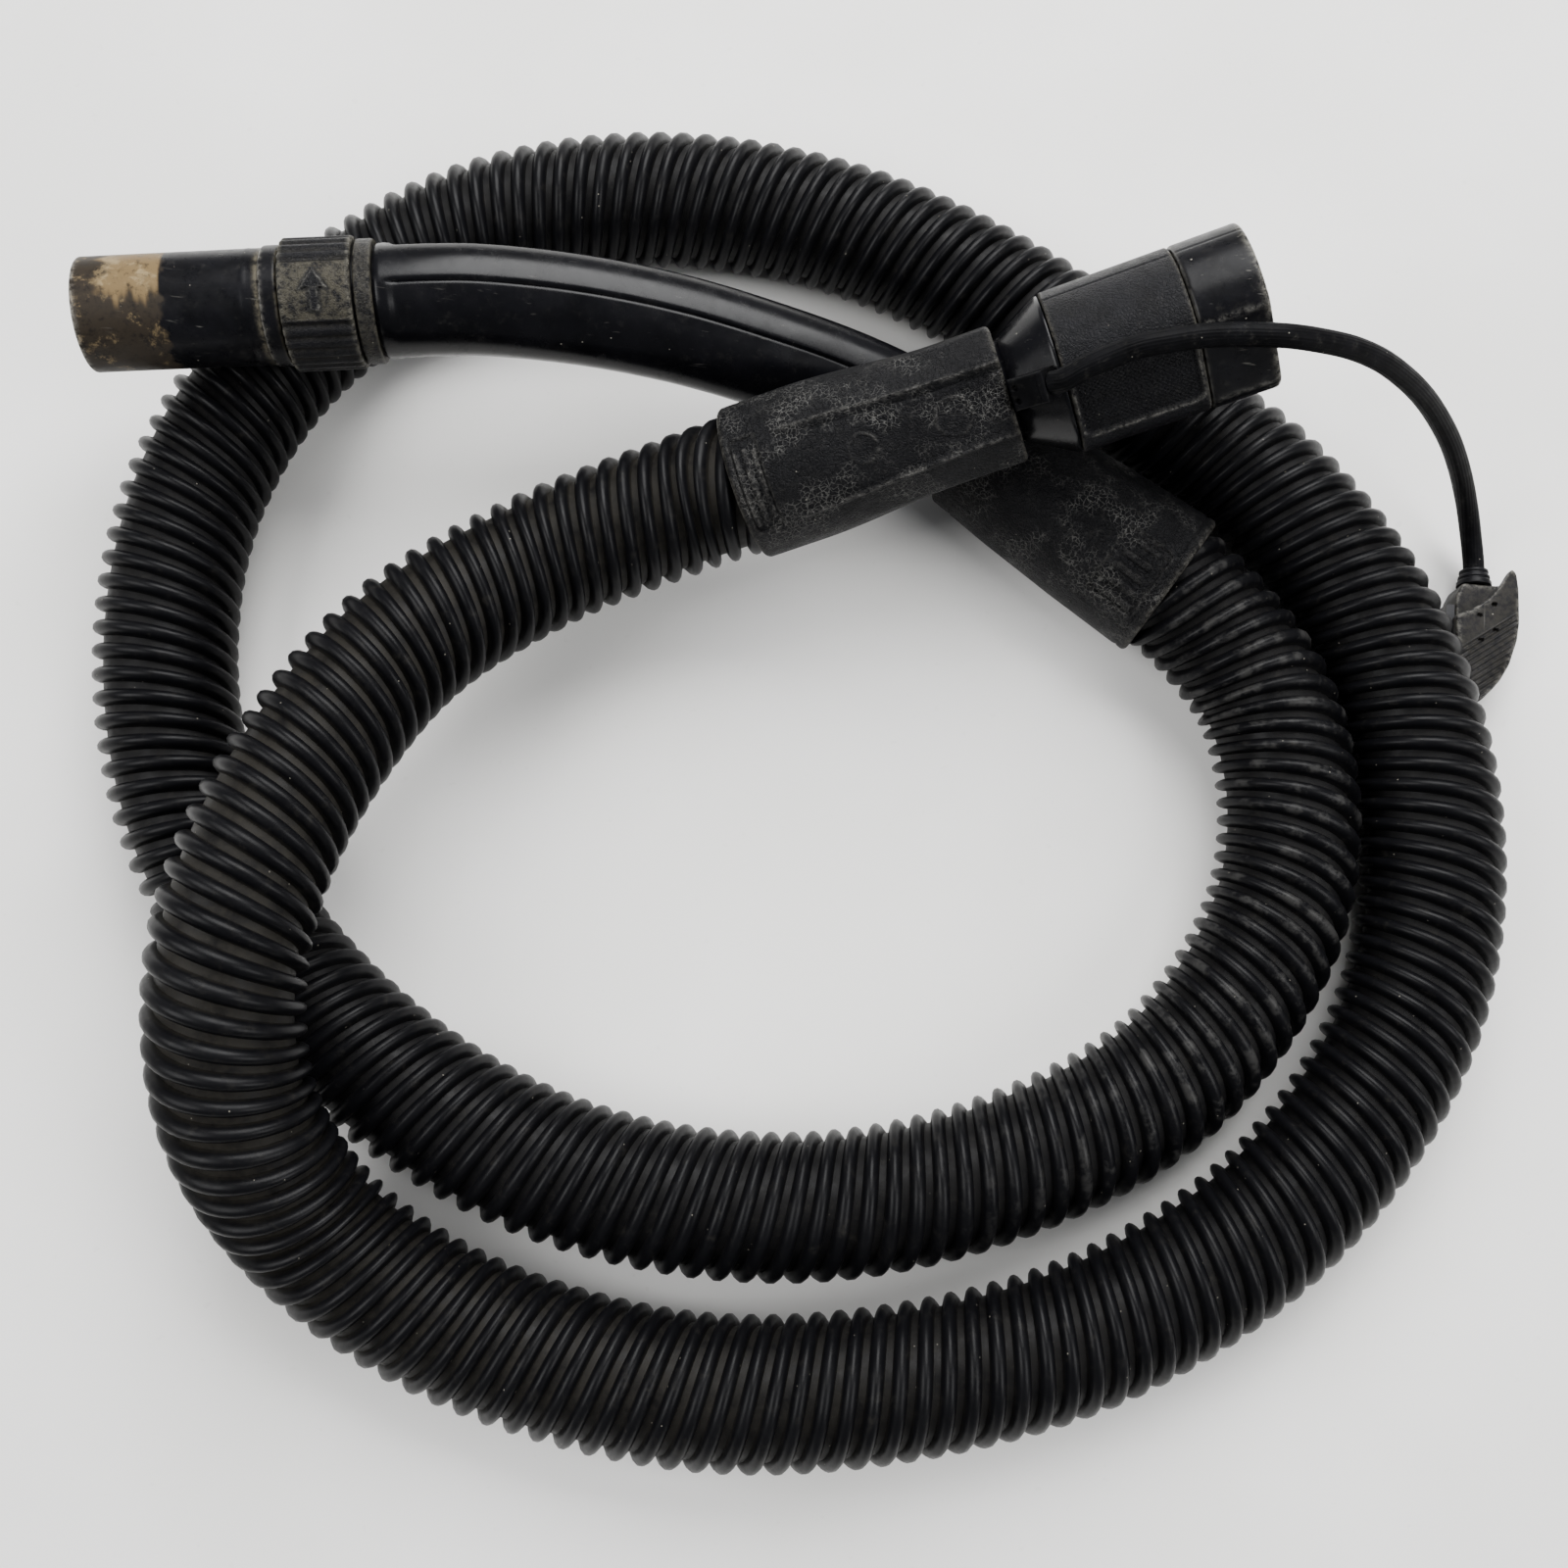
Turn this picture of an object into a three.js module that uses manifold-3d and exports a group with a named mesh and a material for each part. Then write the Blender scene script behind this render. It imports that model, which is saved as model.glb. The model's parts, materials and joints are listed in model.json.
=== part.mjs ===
// Electric suction hose of a canister vacuum cleaner, lying in two loops with its curved wand on top.
// All sizes are in millimetres. +Z is up, the surface it lies on is z = 0.
import * as THREE from 'three';
import { mergeVertices } from 'three/addons/utils/BufferGeometryUtils.js';
import Module from 'manifold-3d';

const wasm = await Module();
wasm.setup();

// Fits shared by all pieces
const clearance = 0.35;            // between pieces that touch in the real object
const runningGap = 0.5;            // between pieces that turn past each other
const roundSides = 32;             // facets round a large turned piece
const smallSides = 20;             // facets round a small turned piece

// Hose
const hoseRadius = 21.4;           // over the crests of the ribs, across the corners of the plain tube
const hoseBore = 17;
const hoseSides = 12;
const hoseSteps = 75;
const floorHeight = hoseRadius + 0.1;   // height of the hose's axis where it lies on the surface
const socketRadius = hoseRadius + clearance;

// Machine end
const cuffLength = 82;
const cuffMouthRadius = socketRadius + 1.25;
const cuffFlat = 19.5;             // from the axis to each main flat at the connector end
const cuffCorner = 21.6;           // from the axis to the facets between the main flats
const cuffFlatAngle = 117;         // direction of the upper flat, in degrees from +Y towards +Z
const hoseDepthInCuff = 22;
const ferruleWall = 2.1;
const flangeThickness = 3;
const ferruleStart = 3;            // from the mouth of a cuff or grip to the end of its ferrule in the hose
const neckRadius = 15;
const neckBore = 12.5;
const neckStart = 62;
const coreSpigot = 14;             // length of the connector core inside the shells
const sealLength = 3;
const clipWidth = 2.4;
const clipDepth = 1.6;
const clipInset = 1;
const coneLength = 14.65;
const connectorRadius = 23.3;
const connectorFlatDepth = 3.8;
const connectorFlat = connectorRadius - connectorFlatDepth;   // from the axis to the finger flats
const connectorFlatAngle = 147;
const partingAngle = 51;
const bodyLength = 37.1;
const shellWall = 3;               // at the finger flats
const shellBore = connectorFlat - shellWall;
const panelDepth = 0.7;
const panelWidth = 21;
const panelMargin = 1.5;           // from each end of the body to the panel
const noseLength = 19.3;
const noseWall = 2.4;              // at the finger flats
const noseBore = connectorFlat - noseWall;
const noseSpigot = 10;
const noseSpigotWall = 2.6;
const noseSealSeat = 3;            // from the nose's step to the seal
const screwRadius = 1.3;
const screwHeadRadius = 2.4;
const screwHeadHeight = 1.8;
const screwHeadSeat = 5;           // from the parting plane to the underside of a head
const screwDepth = 7;
const screwInset = 7;              // from each end of the body
const screwOffset = (shellBore + connectorRadius) / 2;   // from the axis to each screw, on the parting

// Pigtail cord and its plug
const cordRadius = 3.35;
const cordSides = 10;
const cordSteps = 30;
const reliefAngle = 116.5;          // direction of the strain relief round the axis
const reliefSlope = 33;
const reliefLength = 15.5;
const reliefHeight = 7.4;
const reliefWidth = 8.6;
const plugThickness = 15.2;
const plugCoverThickness = 3.8;
const plugCollarLength = 5.4;
const bladeSpacing = 12.7;
const bladeHeight = 6.3;
const bladeThickness = 1.5;

// Handle end
const gripLength = 78;
const gripMouthRadius = socketRadius + 2.25;
const gripMiddleRadius = 21.4;
const gripRearRadius = 19.4;
const hoseDepthInGrip = 24;
const tubeRadius = 16.5;
const tubeWall = 2;
const tubeDepthInGrip = 22;
const tubeSteps = 20;

// Wand end
const spigotRadius = (tubeRadius - tubeWall) * Math.cos(Math.PI / smallSides) - clearance;
const spigotBore = spigotRadius - 1.7;
const spigotLength = 14;
const collarWidth = 5.3;
const collarRadius = 17.9;
const ringWidth = 20.4;
const ringRadius = 19;
const ringSeatRadius = 15.6;
const fluteCount = 30;
const fluteDepth = 0.7;
const shoulderWidth = 5.2;
const shoulderRadius = 17.2;
const endTubeLength = 52.3;
const endTubeRadius = 16.3;
const endTubeBore = 14.2;
const arrowAngle = 73;             // direction of the plain pad that carries the arrow
const arrowPadSpread = 26;         // degrees of plain pad to each side of the arrow
const bleedWidth = 6;
const bleedLength = 10;
const bleedAngle = 270;            // direction of the slot in the ring's seat
const ringTravel = 60;             // degrees from closed to fully open bleed
const springAngle = 180;
const springLength = 9.6;
const springWidth = 4.4;
const springThickness = 0.5;
const springRise = 1.2;

// Where each assembly stands
const gripHeight = 24.3;
const gripOrigin = new THREE.Vector3(112.9, 63.5, gripHeight);
const gripDirection = new THREE.Vector3(-0.852, 0.5235, 0);
const machineYaw = rad(19.4);
const machineRise = rad(15.8);     // the connector points up from the hose
const crossing = 77;               // from the cuff's mouth to where it lies over the grip
const machineHeight = gripHeight + gripMiddleRadius + cuffFlat + 1.5 - crossing * Math.sin(machineRise);
const machineOrigin = new THREE.Vector3(-21.4, 75.8, machineHeight);
const machineDirection = new THREE.Vector3(
  Math.cos(machineRise) * Math.cos(machineYaw),
  Math.cos(machineRise) * Math.sin(machineYaw),
  Math.sin(machineRise));
const wandOrigin = new THREE.Vector3(-133.1, 117.7, 58.8);
const wandDirection = new THREE.Vector3(-0.9835, -0.1755, 0.045);

const low = floorHeight;
const hoseRoute = [
  [-1.4, 82.8, 51.7], [-21.4, 75.8, 45.7], [-39.6, 69.4, 40.3], [-80.9, 48.7, 37],
  [-113.5, 18, 46.5], [-132.4, -19.9, 58.5], [-141.8, -55.7, 66.5], [-143.8, -85.7, 66],
  [-138.3, -120.2, 53], [-118.8, -149.7, 31], [-79.3, -172.2, low], [-16.3, -183.7, low],
  [43.7, -177.2, low], [103.7, -155.7, low], [155.7, -115.7, low], [188.7, -59.7, low],
  [194.7, -1.7, low], [178.1, 56.2, low], [140.2, 102.8, low], [99.7, 127.8, low],
  [65.7, 152.3, low], [2.7, 178.3, low], [-62.8, 182.8, low], [-121.3, 164.3, low],
  [-169.8, 120.8, low], [-191.8, 72.3, low], [-194.3, 23.3, low], [-180.8, -27.7, low],
  [-154.3, -67.7, low], [-105.8, -106.7, low], [-51.3, -128.7, low], [12.7, -132.2, low],
  [69.9, -116.2, low], [118.2, -85.2, low], [146, -42.2, low], [151.9, -4.7, low],
  [144.7, 28.8, low], [129.7, 49.3, 22.5], [112.9, 63.5, 24.3], [92.4, 76.1, 24.3],
];
const cordRoute = [
  [61.4, 91.8, 95.2], [63.7, 91.8, 97.4], [68.7, 93.9, 101.3], [75.4, 96.7, 103.8],
  [81.9, 99.2, 105.4],
  [89.5, 101.1, 106.3], [97, 102.7, 107.2], [104.7, 103.6, 108], [112.3, 104, 108.6],
  [121, 104.6, 108.3], [130.7, 105.9, 105.2], [141, 107.6, 100], [151.3, 109, 92.7],
  [161.6, 109.8, 83.3], [171.2, 110.2, 73], [180.1, 110, 62], [189.1, 108.8, 50],
  [197, 106.9, 38], [203.4, 104.3, 27.5], [208.8, 100, 18.4], [212.8, 94, 11.6],
  [214.9, 88.4, 8.3], [215.5, 84.4, 7.3], [215.5, 80.1, 7.2],
];
const tubeRoute = [
  [65.2, 92.8, 24.3], [56.7, 98, 24.3], [47.3, 103.8, 24.3], [37.6, 109.4, 24.9], [22.5, 115.4, 27.8],
  [4.5, 119.6, 32.4], [-16.5, 122.4, 38.2], [-44.8, 124.8, 45.5], [-74.5, 124.9, 51.8],
  [-103.4, 122.7, 56.6], [-118.3, 120.4, 58.1], [-133.1, 117.7, 58.8],
];

function rad(degrees) {
  return degrees * Math.PI / 180;
}

// A plastic, rubber or metal finish
function finish(colour, roughness, metalness = 0) {
  return new THREE.MeshStandardMaterial({ color: colour, roughness, metalness });
}
const hosePlastic = finish('#15161a', 0.45);
const vinyl = finish('#191a1c', 0.7);
const mouldedPlastic = finish('#17181b', 0.5);
const glossPlastic = finish('#101114', 0.2);
const cordRubber = finish('#1b1b1d', 0.65);
const sealRubber = finish('#26262a', 0.85);
const innerPlastic = finish('#2c2d31', 0.5);
const spigotPlastic = finish('#141518', 0.4);
const steel = finish('#b9bcc0', 0.3, 1);
const brass = finish('#c9b37a', 0.35, 1);

// Welds shared corners and turns the faces outwards
function closed(geometry) {
  geometry.deleteAttribute('normal');
  geometry.deleteAttribute('uv');
  const welded = mergeVertices(geometry.index ? geometry.toNonIndexed() : geometry, 1e-4);
  const index = welded.index.array;
  const p = welded.attributes.position;
  const a = new THREE.Vector3();
  const b = new THREE.Vector3();
  const c = new THREE.Vector3();
  const kept = [];
  let volume = 0;
  for (let i = 0; i < index.length; i += 3) {
    const corners = [index[i], index[i + 1], index[i + 2]];
    if (new Set(corners).size < 3) continue;
    kept.push(...corners);
    a.fromBufferAttribute(p, corners[0]);
    b.fromBufferAttribute(p, corners[1]);
    c.fromBufferAttribute(p, corners[2]);
    volume += a.dot(b.cross(c));
  }
  if (volume < 0) kept.reverse();
  welded.setIndex(kept);
  return welded;
}

function toSolid(geometry) {
  const clean = closed(geometry);
  return new wasm.Manifold(new wasm.Mesh({
    numProp: 3,
    vertProperties: new Float32Array(clean.attributes.position.array),
    triVerts: new Uint32Array(clean.index.array),
  }));
}

function toGeometry(solid) {
  const mesh = solid.getMesh();
  const geometry = new THREE.BufferGeometry();
  geometry.setAttribute('position', new THREE.BufferAttribute(new Float32Array(mesh.vertProperties), 3));
  geometry.setIndex(Array.from(mesh.triVerts));
  return geometry;
}

function cut(body, ...tools) {
  return toGeometry(tools.reduce((solid, tool) => solid.subtract(toSolid(tool)), toSolid(body)));
}

function join(body, ...others) {
  return toGeometry(others.reduce((solid, other) => solid.add(toSolid(other)), toSolid(body)));
}

function common(body, tool) {
  return toGeometry(toSolid(body).intersect(toSolid(tool)));
}

// A turned ring about X. The profile lists [x, radius] and closes on itself.
function turned(profile, sides = roundSides) {
  const points = profile.map(([x, r]) => new THREE.Vector2(r, x));
  points.push(points[0].clone());
  return new THREE.LatheGeometry(points, sides).rotateZ(-Math.PI / 2);
}

// A plain sleeve about X
function sleeve(start, end, inner, outer, sides = roundSides) {
  return turned([[start, inner], [end, inner], [end, outer], [start, outer]], sides);
}

// A solid rod about X
function rod(start, end, radius, sides = smallSides) {
  const length = end - start;
  return new THREE.CylinderGeometry(radius, radius, length, sides)
    .rotateZ(-Math.PI / 2)
    .translate((start + end) / 2, 0, 0);
}

function block(x0, x1, y0, y1, z0, z1) {
  return new THREE.BoxGeometry(x1 - x0, y1 - y0, z1 - z0)
    .translate((x0 + x1) / 2, (y0 + y1) / 2, (z0 + z1) / 2);
}

function outline(points) {
  return new THREE.Shape(points.map(([x, y]) => new THREE.Vector2(x, y)));
}

// An outline in (y, z) carried along X
function prism(shape, start, end, curveSegments = 12) {
  const toX = new THREE.Matrix4().makeBasis(
    new THREE.Vector3(0, 1, 0), new THREE.Vector3(0, 0, 1), new THREE.Vector3(1, 0, 0));
  return new THREE.ExtrudeGeometry(shape, { depth: end - start, bevelEnabled: false, curveSegments })
    .applyMatrix4(toX)
    .translate(start, 0, 0);
}

// An outline in (x, z), centred on y = 0
function slab(points, width) {
  return new THREE.ExtrudeGeometry(outline(points), { depth: width, bevelEnabled: false })
    .rotateX(Math.PI / 2)
    .translate(0, width / 2, 0);
}

// A regular polygon section for a tube, turned so that a flat faces down
function polygon(radius, sides, shapeClass = THREE.Shape) {
  const points = [];
  for (let i = 0; i < sides; i++) {
    const angle = (i + 0.5) / sides * 2 * Math.PI;
    points.push(new THREE.Vector2(radius * Math.cos(angle), radius * Math.sin(angle)));
  }
  return new shapeClass(points);
}

function curveThrough(route) {
  return new THREE.CatmullRomCurve3(route.map((p) => new THREE.Vector3(...p)));
}

// Turns a piece's own +Z to the direction round the X axis
function turnTo(geometry, angle) {
  return geometry.rotateX(rad(angle - 90));
}

const model = new THREE.Group();

function addTo(group, name, geometry, material) {
  const mesh = new THREE.Mesh(closed(geometry), material);
  mesh.name = name;
  group.add(mesh);
  return mesh;
}

// A group whose X axis points along a direction, with its Y axis level
function assembly(origin, direction) {
  const group = new THREE.Group();
  const x = direction.clone().normalize();
  const y = new THREE.Vector3(0, 0, 1).cross(x).normalize();
  const z = new THREE.Vector3().crossVectors(x, y);
  group.setRotationFromMatrix(new THREE.Matrix4().makeBasis(x, y, z));
  group.position.copy(origin);
  model.add(group);
  return group;
}

// Hose: a plain tube of the ribbed hose's outer size and bore
{
  const section = polygon(hoseRadius, hoseSides);
  section.holes.push(polygon(hoseBore, hoseSides, THREE.Path));
  const geometry = new THREE.ExtrudeGeometry(section, {
    steps: hoseSteps, extrudePath: curveThrough(hoseRoute), bevelEnabled: false,
  });
  addTo(model, 'hose', geometry, hosePlastic);
}

// Machine end, built along X from the cuff's mouth
const machine = assembly(machineOrigin, machineDirection);
const coneStart = cuffLength + runningGap;
const bodyStart = coneStart + coneLength + clearance;
const noseStart = bodyStart + bodyLength + clearance;
const noseEnd = noseStart + noseLength;
const ferruleOuter = hoseBore * Math.cos(Math.PI / hoseSides) - 2 * clearance;
const ferruleBore = ferruleOuter - ferruleWall;
const flangeStart = hoseDepthInCuff + clearance;
const cuffSocketEnd = flangeStart + flangeThickness + clearance;
const clipStart = neckStart + 4;
const ferruleEnd = neckStart - sealLength - clearance;

// Radius of the cuff: round at the mouth, changing to an eight-sided section with four wide flats
function cuffRadius(angle, x) {
  const t = THREE.MathUtils.smoothstep(x, cuffSocketEnd - 8, cuffLength - 12);
  let flats = Infinity;
  for (let k = 0; k < 4; k++) {
    const main = Math.cos(angle - rad(cuffFlatAngle + 90 * k));
    const corner = Math.cos(angle - rad(cuffFlatAngle + 45 + 90 * k));
    if (main > 0.1) flats = Math.min(flats, cuffFlat / main);
    if (corner > 0.1) flats = Math.min(flats, cuffCorner / corner);
  }
  const lip = 1.6 * Math.pow(Math.max(0, 1 - x / 3), 2) + 0.8 * Math.max(0, 1 - (cuffLength - x) / 1.2);
  return (1 - t) * cuffMouthRadius + t * flats - lip;
}

// Moves the rings of a cylinder about X to a list of stations and a radius for each direction
function shaped(stations, sides, radiusAt) {
  const last = stations.length - 1;
  const geometry = new THREE.CylinderGeometry(1, 1, last, sides, last).rotateZ(-Math.PI / 2);
  const p = geometry.attributes.position;
  for (let i = 0; i < p.count; i++) {
    const x = stations[Math.round(p.getX(i) + last / 2)];
    const onWall = Math.hypot(p.getY(i), p.getZ(i)) > 0.5;
    const angle = Math.atan2(p.getZ(i), p.getY(i));
    const r = onWall ? radiusAt(angle, x) : 0;
    p.setXYZ(i, x, r * Math.cos(angle), r * Math.sin(angle));
  }
  return geometry;
}

// Strain relief: a sloping block that hugs the swivel cone
const reliefBack = cuffLength + clearance + 0.05;
const reliefCos = Math.cos(rad(reliefSlope));
const reliefSin = Math.sin(rad(reliefSlope));
const reliefFoot = neckRadius + 1;
const reliefTip = [reliefBack + reliefLength * reliefCos, reliefFoot + reliefLength * reliefSin];
const reliefTop = [reliefTip[0] - reliefHeight * reliefSin, reliefTip[1] + reliefHeight * reliefCos];
const reliefRearTop = [reliefBack, reliefTop[1] - (reliefTop[0] - reliefBack) * Math.tan(rad(reliefSlope))];

{
  const outer = shaped([0, 1, 3, 18, 27, 38, 50, 62, 71, cuffLength - 1.2, cuffLength], 32, cuffRadius);
  const ramp = turnTo(slab([
    [cuffLength - 15, cuffFlat - 3],
    [cuffLength, cuffFlat - 3],
    [cuffLength, reliefRearTop[1]],
  ], reliefWidth + 1), reliefAngle);
  const bore = turned([
    [-1, 0], [-1, socketRadius], [cuffSocketEnd, socketRadius], [cuffSocketEnd, ferruleOuter + clearance],
    [neckStart - clearance, ferruleOuter + clearance], [neckStart - clearance, neckRadius + runningGap],
    [clipStart - clearance, neckRadius + runningGap], [clipStart - clearance, neckRadius + clipDepth],
    [clipStart + clipWidth + clearance, neckRadius + clipDepth],
    [clipStart + clipWidth + clearance, neckRadius + runningGap],
    [cuffLength + 1, neckRadius + runningGap], [cuffLength + 1, 0],
  ]);
  addTo(machine, 'machine_cuff', cut(join(outer, ramp), bore), vinyl);
}

addTo(machine, 'machine_ferrule', turned([
  [ferruleStart, ferruleBore], [ferruleEnd, ferruleBore], [ferruleEnd, ferruleOuter],
  [flangeStart + flangeThickness, ferruleOuter], [flangeStart + flangeThickness, hoseRadius],
  [flangeStart, hoseRadius], [flangeStart, ferruleOuter], [ferruleStart, ferruleOuter],
]), innerPlastic);

addTo(machine, 'swivel_seal',
  sleeve(neckStart - sealLength, neckStart - runningGap, ferruleBore, ferruleOuter, smallSides), sealRubber);

{
  const clip = sleeve(clipStart, clipStart + clipWidth,
    neckRadius - clipInset, neckRadius + clipDepth - clearance, smallSides);
  const mouth = block(clipStart - 1, clipStart + clipWidth + 1, -4, 4, -neckRadius - 4, 0);
  addTo(machine, 'swivel_retaining_clip', cut(clip, mouth), steel);
}

addTo(machine, 'connector_core', turned([
  [neckStart, neckBore], [bodyStart + coreSpigot, neckBore], [bodyStart + coreSpigot, shellBore - clearance],
  [bodyStart - clearance, shellBore - clearance], [bodyStart - clearance, connectorRadius - 0.4],
  [coneStart, neckRadius], [clipStart + clipWidth + clearance, neckRadius],
  [clipStart + clipWidth + clearance, neckRadius - clipInset - clearance],
  [clipStart - clearance, neckRadius - clipInset - clearance], [clipStart - clearance, neckRadius],
  [neckStart, neckRadius],
]), glossPlastic);

// Section of the connector: a circle with two opposite finger flats
function connectorSection() {
  const shape = new THREE.Shape();
  const half = Math.acos(connectorFlat / connectorRadius);
  const first = rad(connectorFlatAngle);
  shape.absarc(0, 0, connectorRadius, first + half, first + Math.PI - half, false);
  shape.absarc(0, 0, connectorRadius, first + Math.PI + half, first + 2 * Math.PI - half, false);
  shape.closePath();
  return shape;
}

// Places along X of the shell screws
const screwStations = [bodyStart + screwInset, bodyStart + bodyLength - screwInset];

// One screw lies along the direction square to the parting plane, with its head towards the back shell
function screw(x, side, gap) {
  const headTop = screwHeadSeat + (gap > 0 ? connectorRadius : screwHeadHeight);
  const shaft = rod(-screwDepth - gap, screwHeadSeat + 0.5, screwRadius + gap, 12);
  const head = rod(screwHeadSeat - gap, headTop, screwHeadRadius + gap, 12);
  const lie = new THREE.Matrix4().makeBasis(
    new THREE.Vector3(0, 1, 0), new THREE.Vector3(0, 0, 1), new THREE.Vector3(1, 0, 0));
  return join(shaft, head)
    .applyMatrix4(lie)
    .translate(x, 0, side * screwOffset)
    .rotateX(rad(partingAngle - 90));
}

{
  const section = connectorSection();
  const whole = cut(prism(section, bodyStart, bodyStart + bodyLength, 20),
    rod(bodyStart - 1, bodyStart + bodyLength + 1, shellBore, roundSides));
  const panels = [0, 180].map((turn) => turnTo(block(
    bodyStart + panelMargin, bodyStart + bodyLength - panelMargin, -panelWidth / 2, panelWidth / 2,
    connectorFlat - panelDepth, connectorFlat + 5), connectorFlatAngle + turn));
  const holes = [];
  for (const x of screwStations) {
    holes.push(screw(x, 1, clearance), screw(x, -1, clearance));
  }
  const drilled = cut(whole, ...panels, ...holes);
  const reach = connectorRadius + 5;
  const [frontHalf, backHalf] = [1, -1].map((side) => turnTo(block(
    bodyStart - 1, bodyStart + bodyLength + 1, -reach, reach, clearance / 2, reach),
  partingAngle + 90 * side));
  addTo(machine, 'connector_front_shell', common(drilled, frontHalf), mouldedPlastic);
  addTo(machine, 'connector_back_shell', common(drilled, backHalf), mouldedPlastic);
}

screwStations.forEach((x, row) => {
  [1, -1].forEach((side, column) => {
    addTo(machine, `shell_screw_${row * 2 + column + 1}`, screw(x, side, 0), steel);
  });
});

{
  const outer = prism(connectorSection(), noseStart, noseEnd, 20);
  const spigot = rod(noseStart - noseSpigot, noseStart + 1, shellBore - clearance, roundSides);
  const bore = turned([
    [noseStart - noseSpigot - 1, 0], [noseStart - noseSpigot - 1, shellBore - noseSpigotWall],
    [noseStart + noseSealSeat, shellBore - noseSpigotWall], [noseStart + noseSealSeat, noseBore],
    [noseEnd - 1.5, noseBore],
    [noseEnd + 1, noseBore + 1.4], [noseEnd + 1, 0],
  ]);
  addTo(machine, 'nose_sleeve', cut(join(outer, spigot), bore), spigotPlastic);
}

addTo(machine, 'nose_seal',
  sleeve(noseStart + noseSealSeat + clearance, noseStart + noseSealSeat + sealLength,
    noseBore - 2.2, noseBore - clearance), sealRubber);

{
  const side = [[reliefBack, reliefFoot], reliefTip, reliefTop, reliefRearTop];
  addTo(machine, 'strain_relief', turnTo(slab(side, reliefWidth), reliefAngle), cordRubber);
}

// Pigtail cord
{
  const geometry = new THREE.ExtrudeGeometry(polygon(cordRadius, cordSides), {
    steps: cordSteps, extrudePath: curveThrough(cordRoute), bevelEnabled: false,
  });
  addTo(model, 'pigtail_cord', geometry, cordRubber);
}

// Plug, lying on its side with its blades towards -X
const plugEntry = cordRoute[cordRoute.length - 1];
const plugBottom = 0.4;
const bodyTop = plugBottom + plugThickness - plugCoverThickness - clearance;
const plugFace = 207.9;            // x of the body's blade side
const plateThickness = 2.6;
const bladeReach = 6.4;
const bladeRow = 67.4;             // y of the blade nearer the cord

function plate(points, bottom, top) {
  return new THREE.ExtrudeGeometry(outline(points), { depth: top - bottom, bevelEnabled: false })
    .translate(0, 0, bottom);
}

addTo(model, 'plug_body', plate([
  [plugFace, 50], [plugFace, 74.5], [210.2, 79.2], [221.4, 79.2], [225.8, 80.6], [226.9, 77],
  [227, 66], [226.2, 59.5], [223.6, 51.2], [220.4, 45.4], [215.8, 40.4], [212, 38.2], [209.6, 42.5],
], plugBottom, bodyTop), cordRubber);

addTo(model, 'plug_cover', plate([
  [206.2, 52.5], [206.2, 66.8], [211.5, 69.2], [217.2, 73.6], [221.6, 79.2], [224.2, 83.8], [225.6, 82.4],
  [226.3, 77], [226.4, 66], [225.6, 59.8], [223, 51.6], [219.8, 45.8], [215.4, 40.9], [211.8, 38.4],
  [208.4, 44],
], bodyTop + clearance, plugBottom + plugThickness), cordRubber);

{
  const front = plugFace - clearance;
  const plateGeometry = block(front - plateThickness, front, 50, 71.5, plugBottom + 0.8, bodyTop - 0.4);
  const slots = [0, 1].map((k) => block(
    front - plateThickness - 1, front + 1,
    bladeRow - k * bladeSpacing - bladeThickness / 2 - clearance,
    bladeRow - k * bladeSpacing + bladeThickness / 2 + clearance,
    plugEntry[2] - bladeHeight / 2 - clearance, plugEntry[2] + bladeHeight / 2 + clearance));
  addTo(model, 'plug_blade_plate', cut(plateGeometry, ...slots), innerPlastic);
  for (const k of [0, 1]) {
    const blade = block(
      front - plateThickness - bladeReach, front,
      bladeRow - k * bladeSpacing - bladeThickness / 2, bladeRow - k * bladeSpacing + bladeThickness / 2,
      plugEntry[2] - bladeHeight / 2, plugEntry[2] + bladeHeight / 2);
    addTo(model, `plug_blade_${k + 1}`, blade, brass);
  }
}

{
  const collar = turned([
    [0, cordRadius + runningGap], [plugCollarLength, cordRadius + runningGap],
    [plugCollarLength, cordRadius + 1.2], [0, cordRadius + 2.2],
  ], smallSides).rotateZ(Math.PI / 2).translate(plugEntry[0], 79.2 + clearance, plugEntry[2]);
  addTo(model, 'plug_collar', collar, cordRubber);
}

// Handle end, built along X from the grip's mouth towards the wand
const handle = assembly(gripOrigin, gripDirection);
const gripFlange = hoseDepthInGrip + clearance;
const gripSocketEnd = gripFlange + flangeThickness + clearance;
const tubeStart = gripLength - tubeDepthInGrip;
const handleFerruleEnd = tubeStart - sealLength;
const outletAngle = 205;           // the side turned away from the curved tube
const contactSpacing = 6;
const contactLength = 5.6;
const contactThickness = 0.5;
const contactGap = 0.4;
const outletStation = 46;
const outletLength = 15;
const outletWidth = 11;
const outletFoot = ferruleOuter + 0.9;
const outletTop = gripMiddleRadius + 1.4;

// The solid that an outlet socket fills, larger by a gap for its pocket
function outletBlock(gap) {
  return turnTo(block(
    outletStation - outletLength / 2 - gap, outletStation + outletLength / 2 + gap,
    -outletWidth / 2 - gap, outletWidth / 2 + gap, outletFoot, outletTop + gap * 10), outletAngle);
}

{
  const grip = turned([
    [0, socketRadius], [0, gripMouthRadius - 1.2], [1.2, gripMouthRadius], [30, gripMouthRadius - 1.1],
    [55, gripMiddleRadius], [gripLength - 2.5, gripRearRadius], [gripLength, gripRearRadius - 1.4],
    [gripLength, tubeRadius + runningGap], [tubeStart - clearance, tubeRadius + runningGap],
    [tubeStart - clearance, ferruleOuter + clearance], [gripSocketEnd, ferruleOuter + clearance],
    [gripSocketEnd, socketRadius],
  ]);
  addTo(handle, 'handle_grip', cut(grip, outletBlock(clearance)), vinyl);
}

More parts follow.
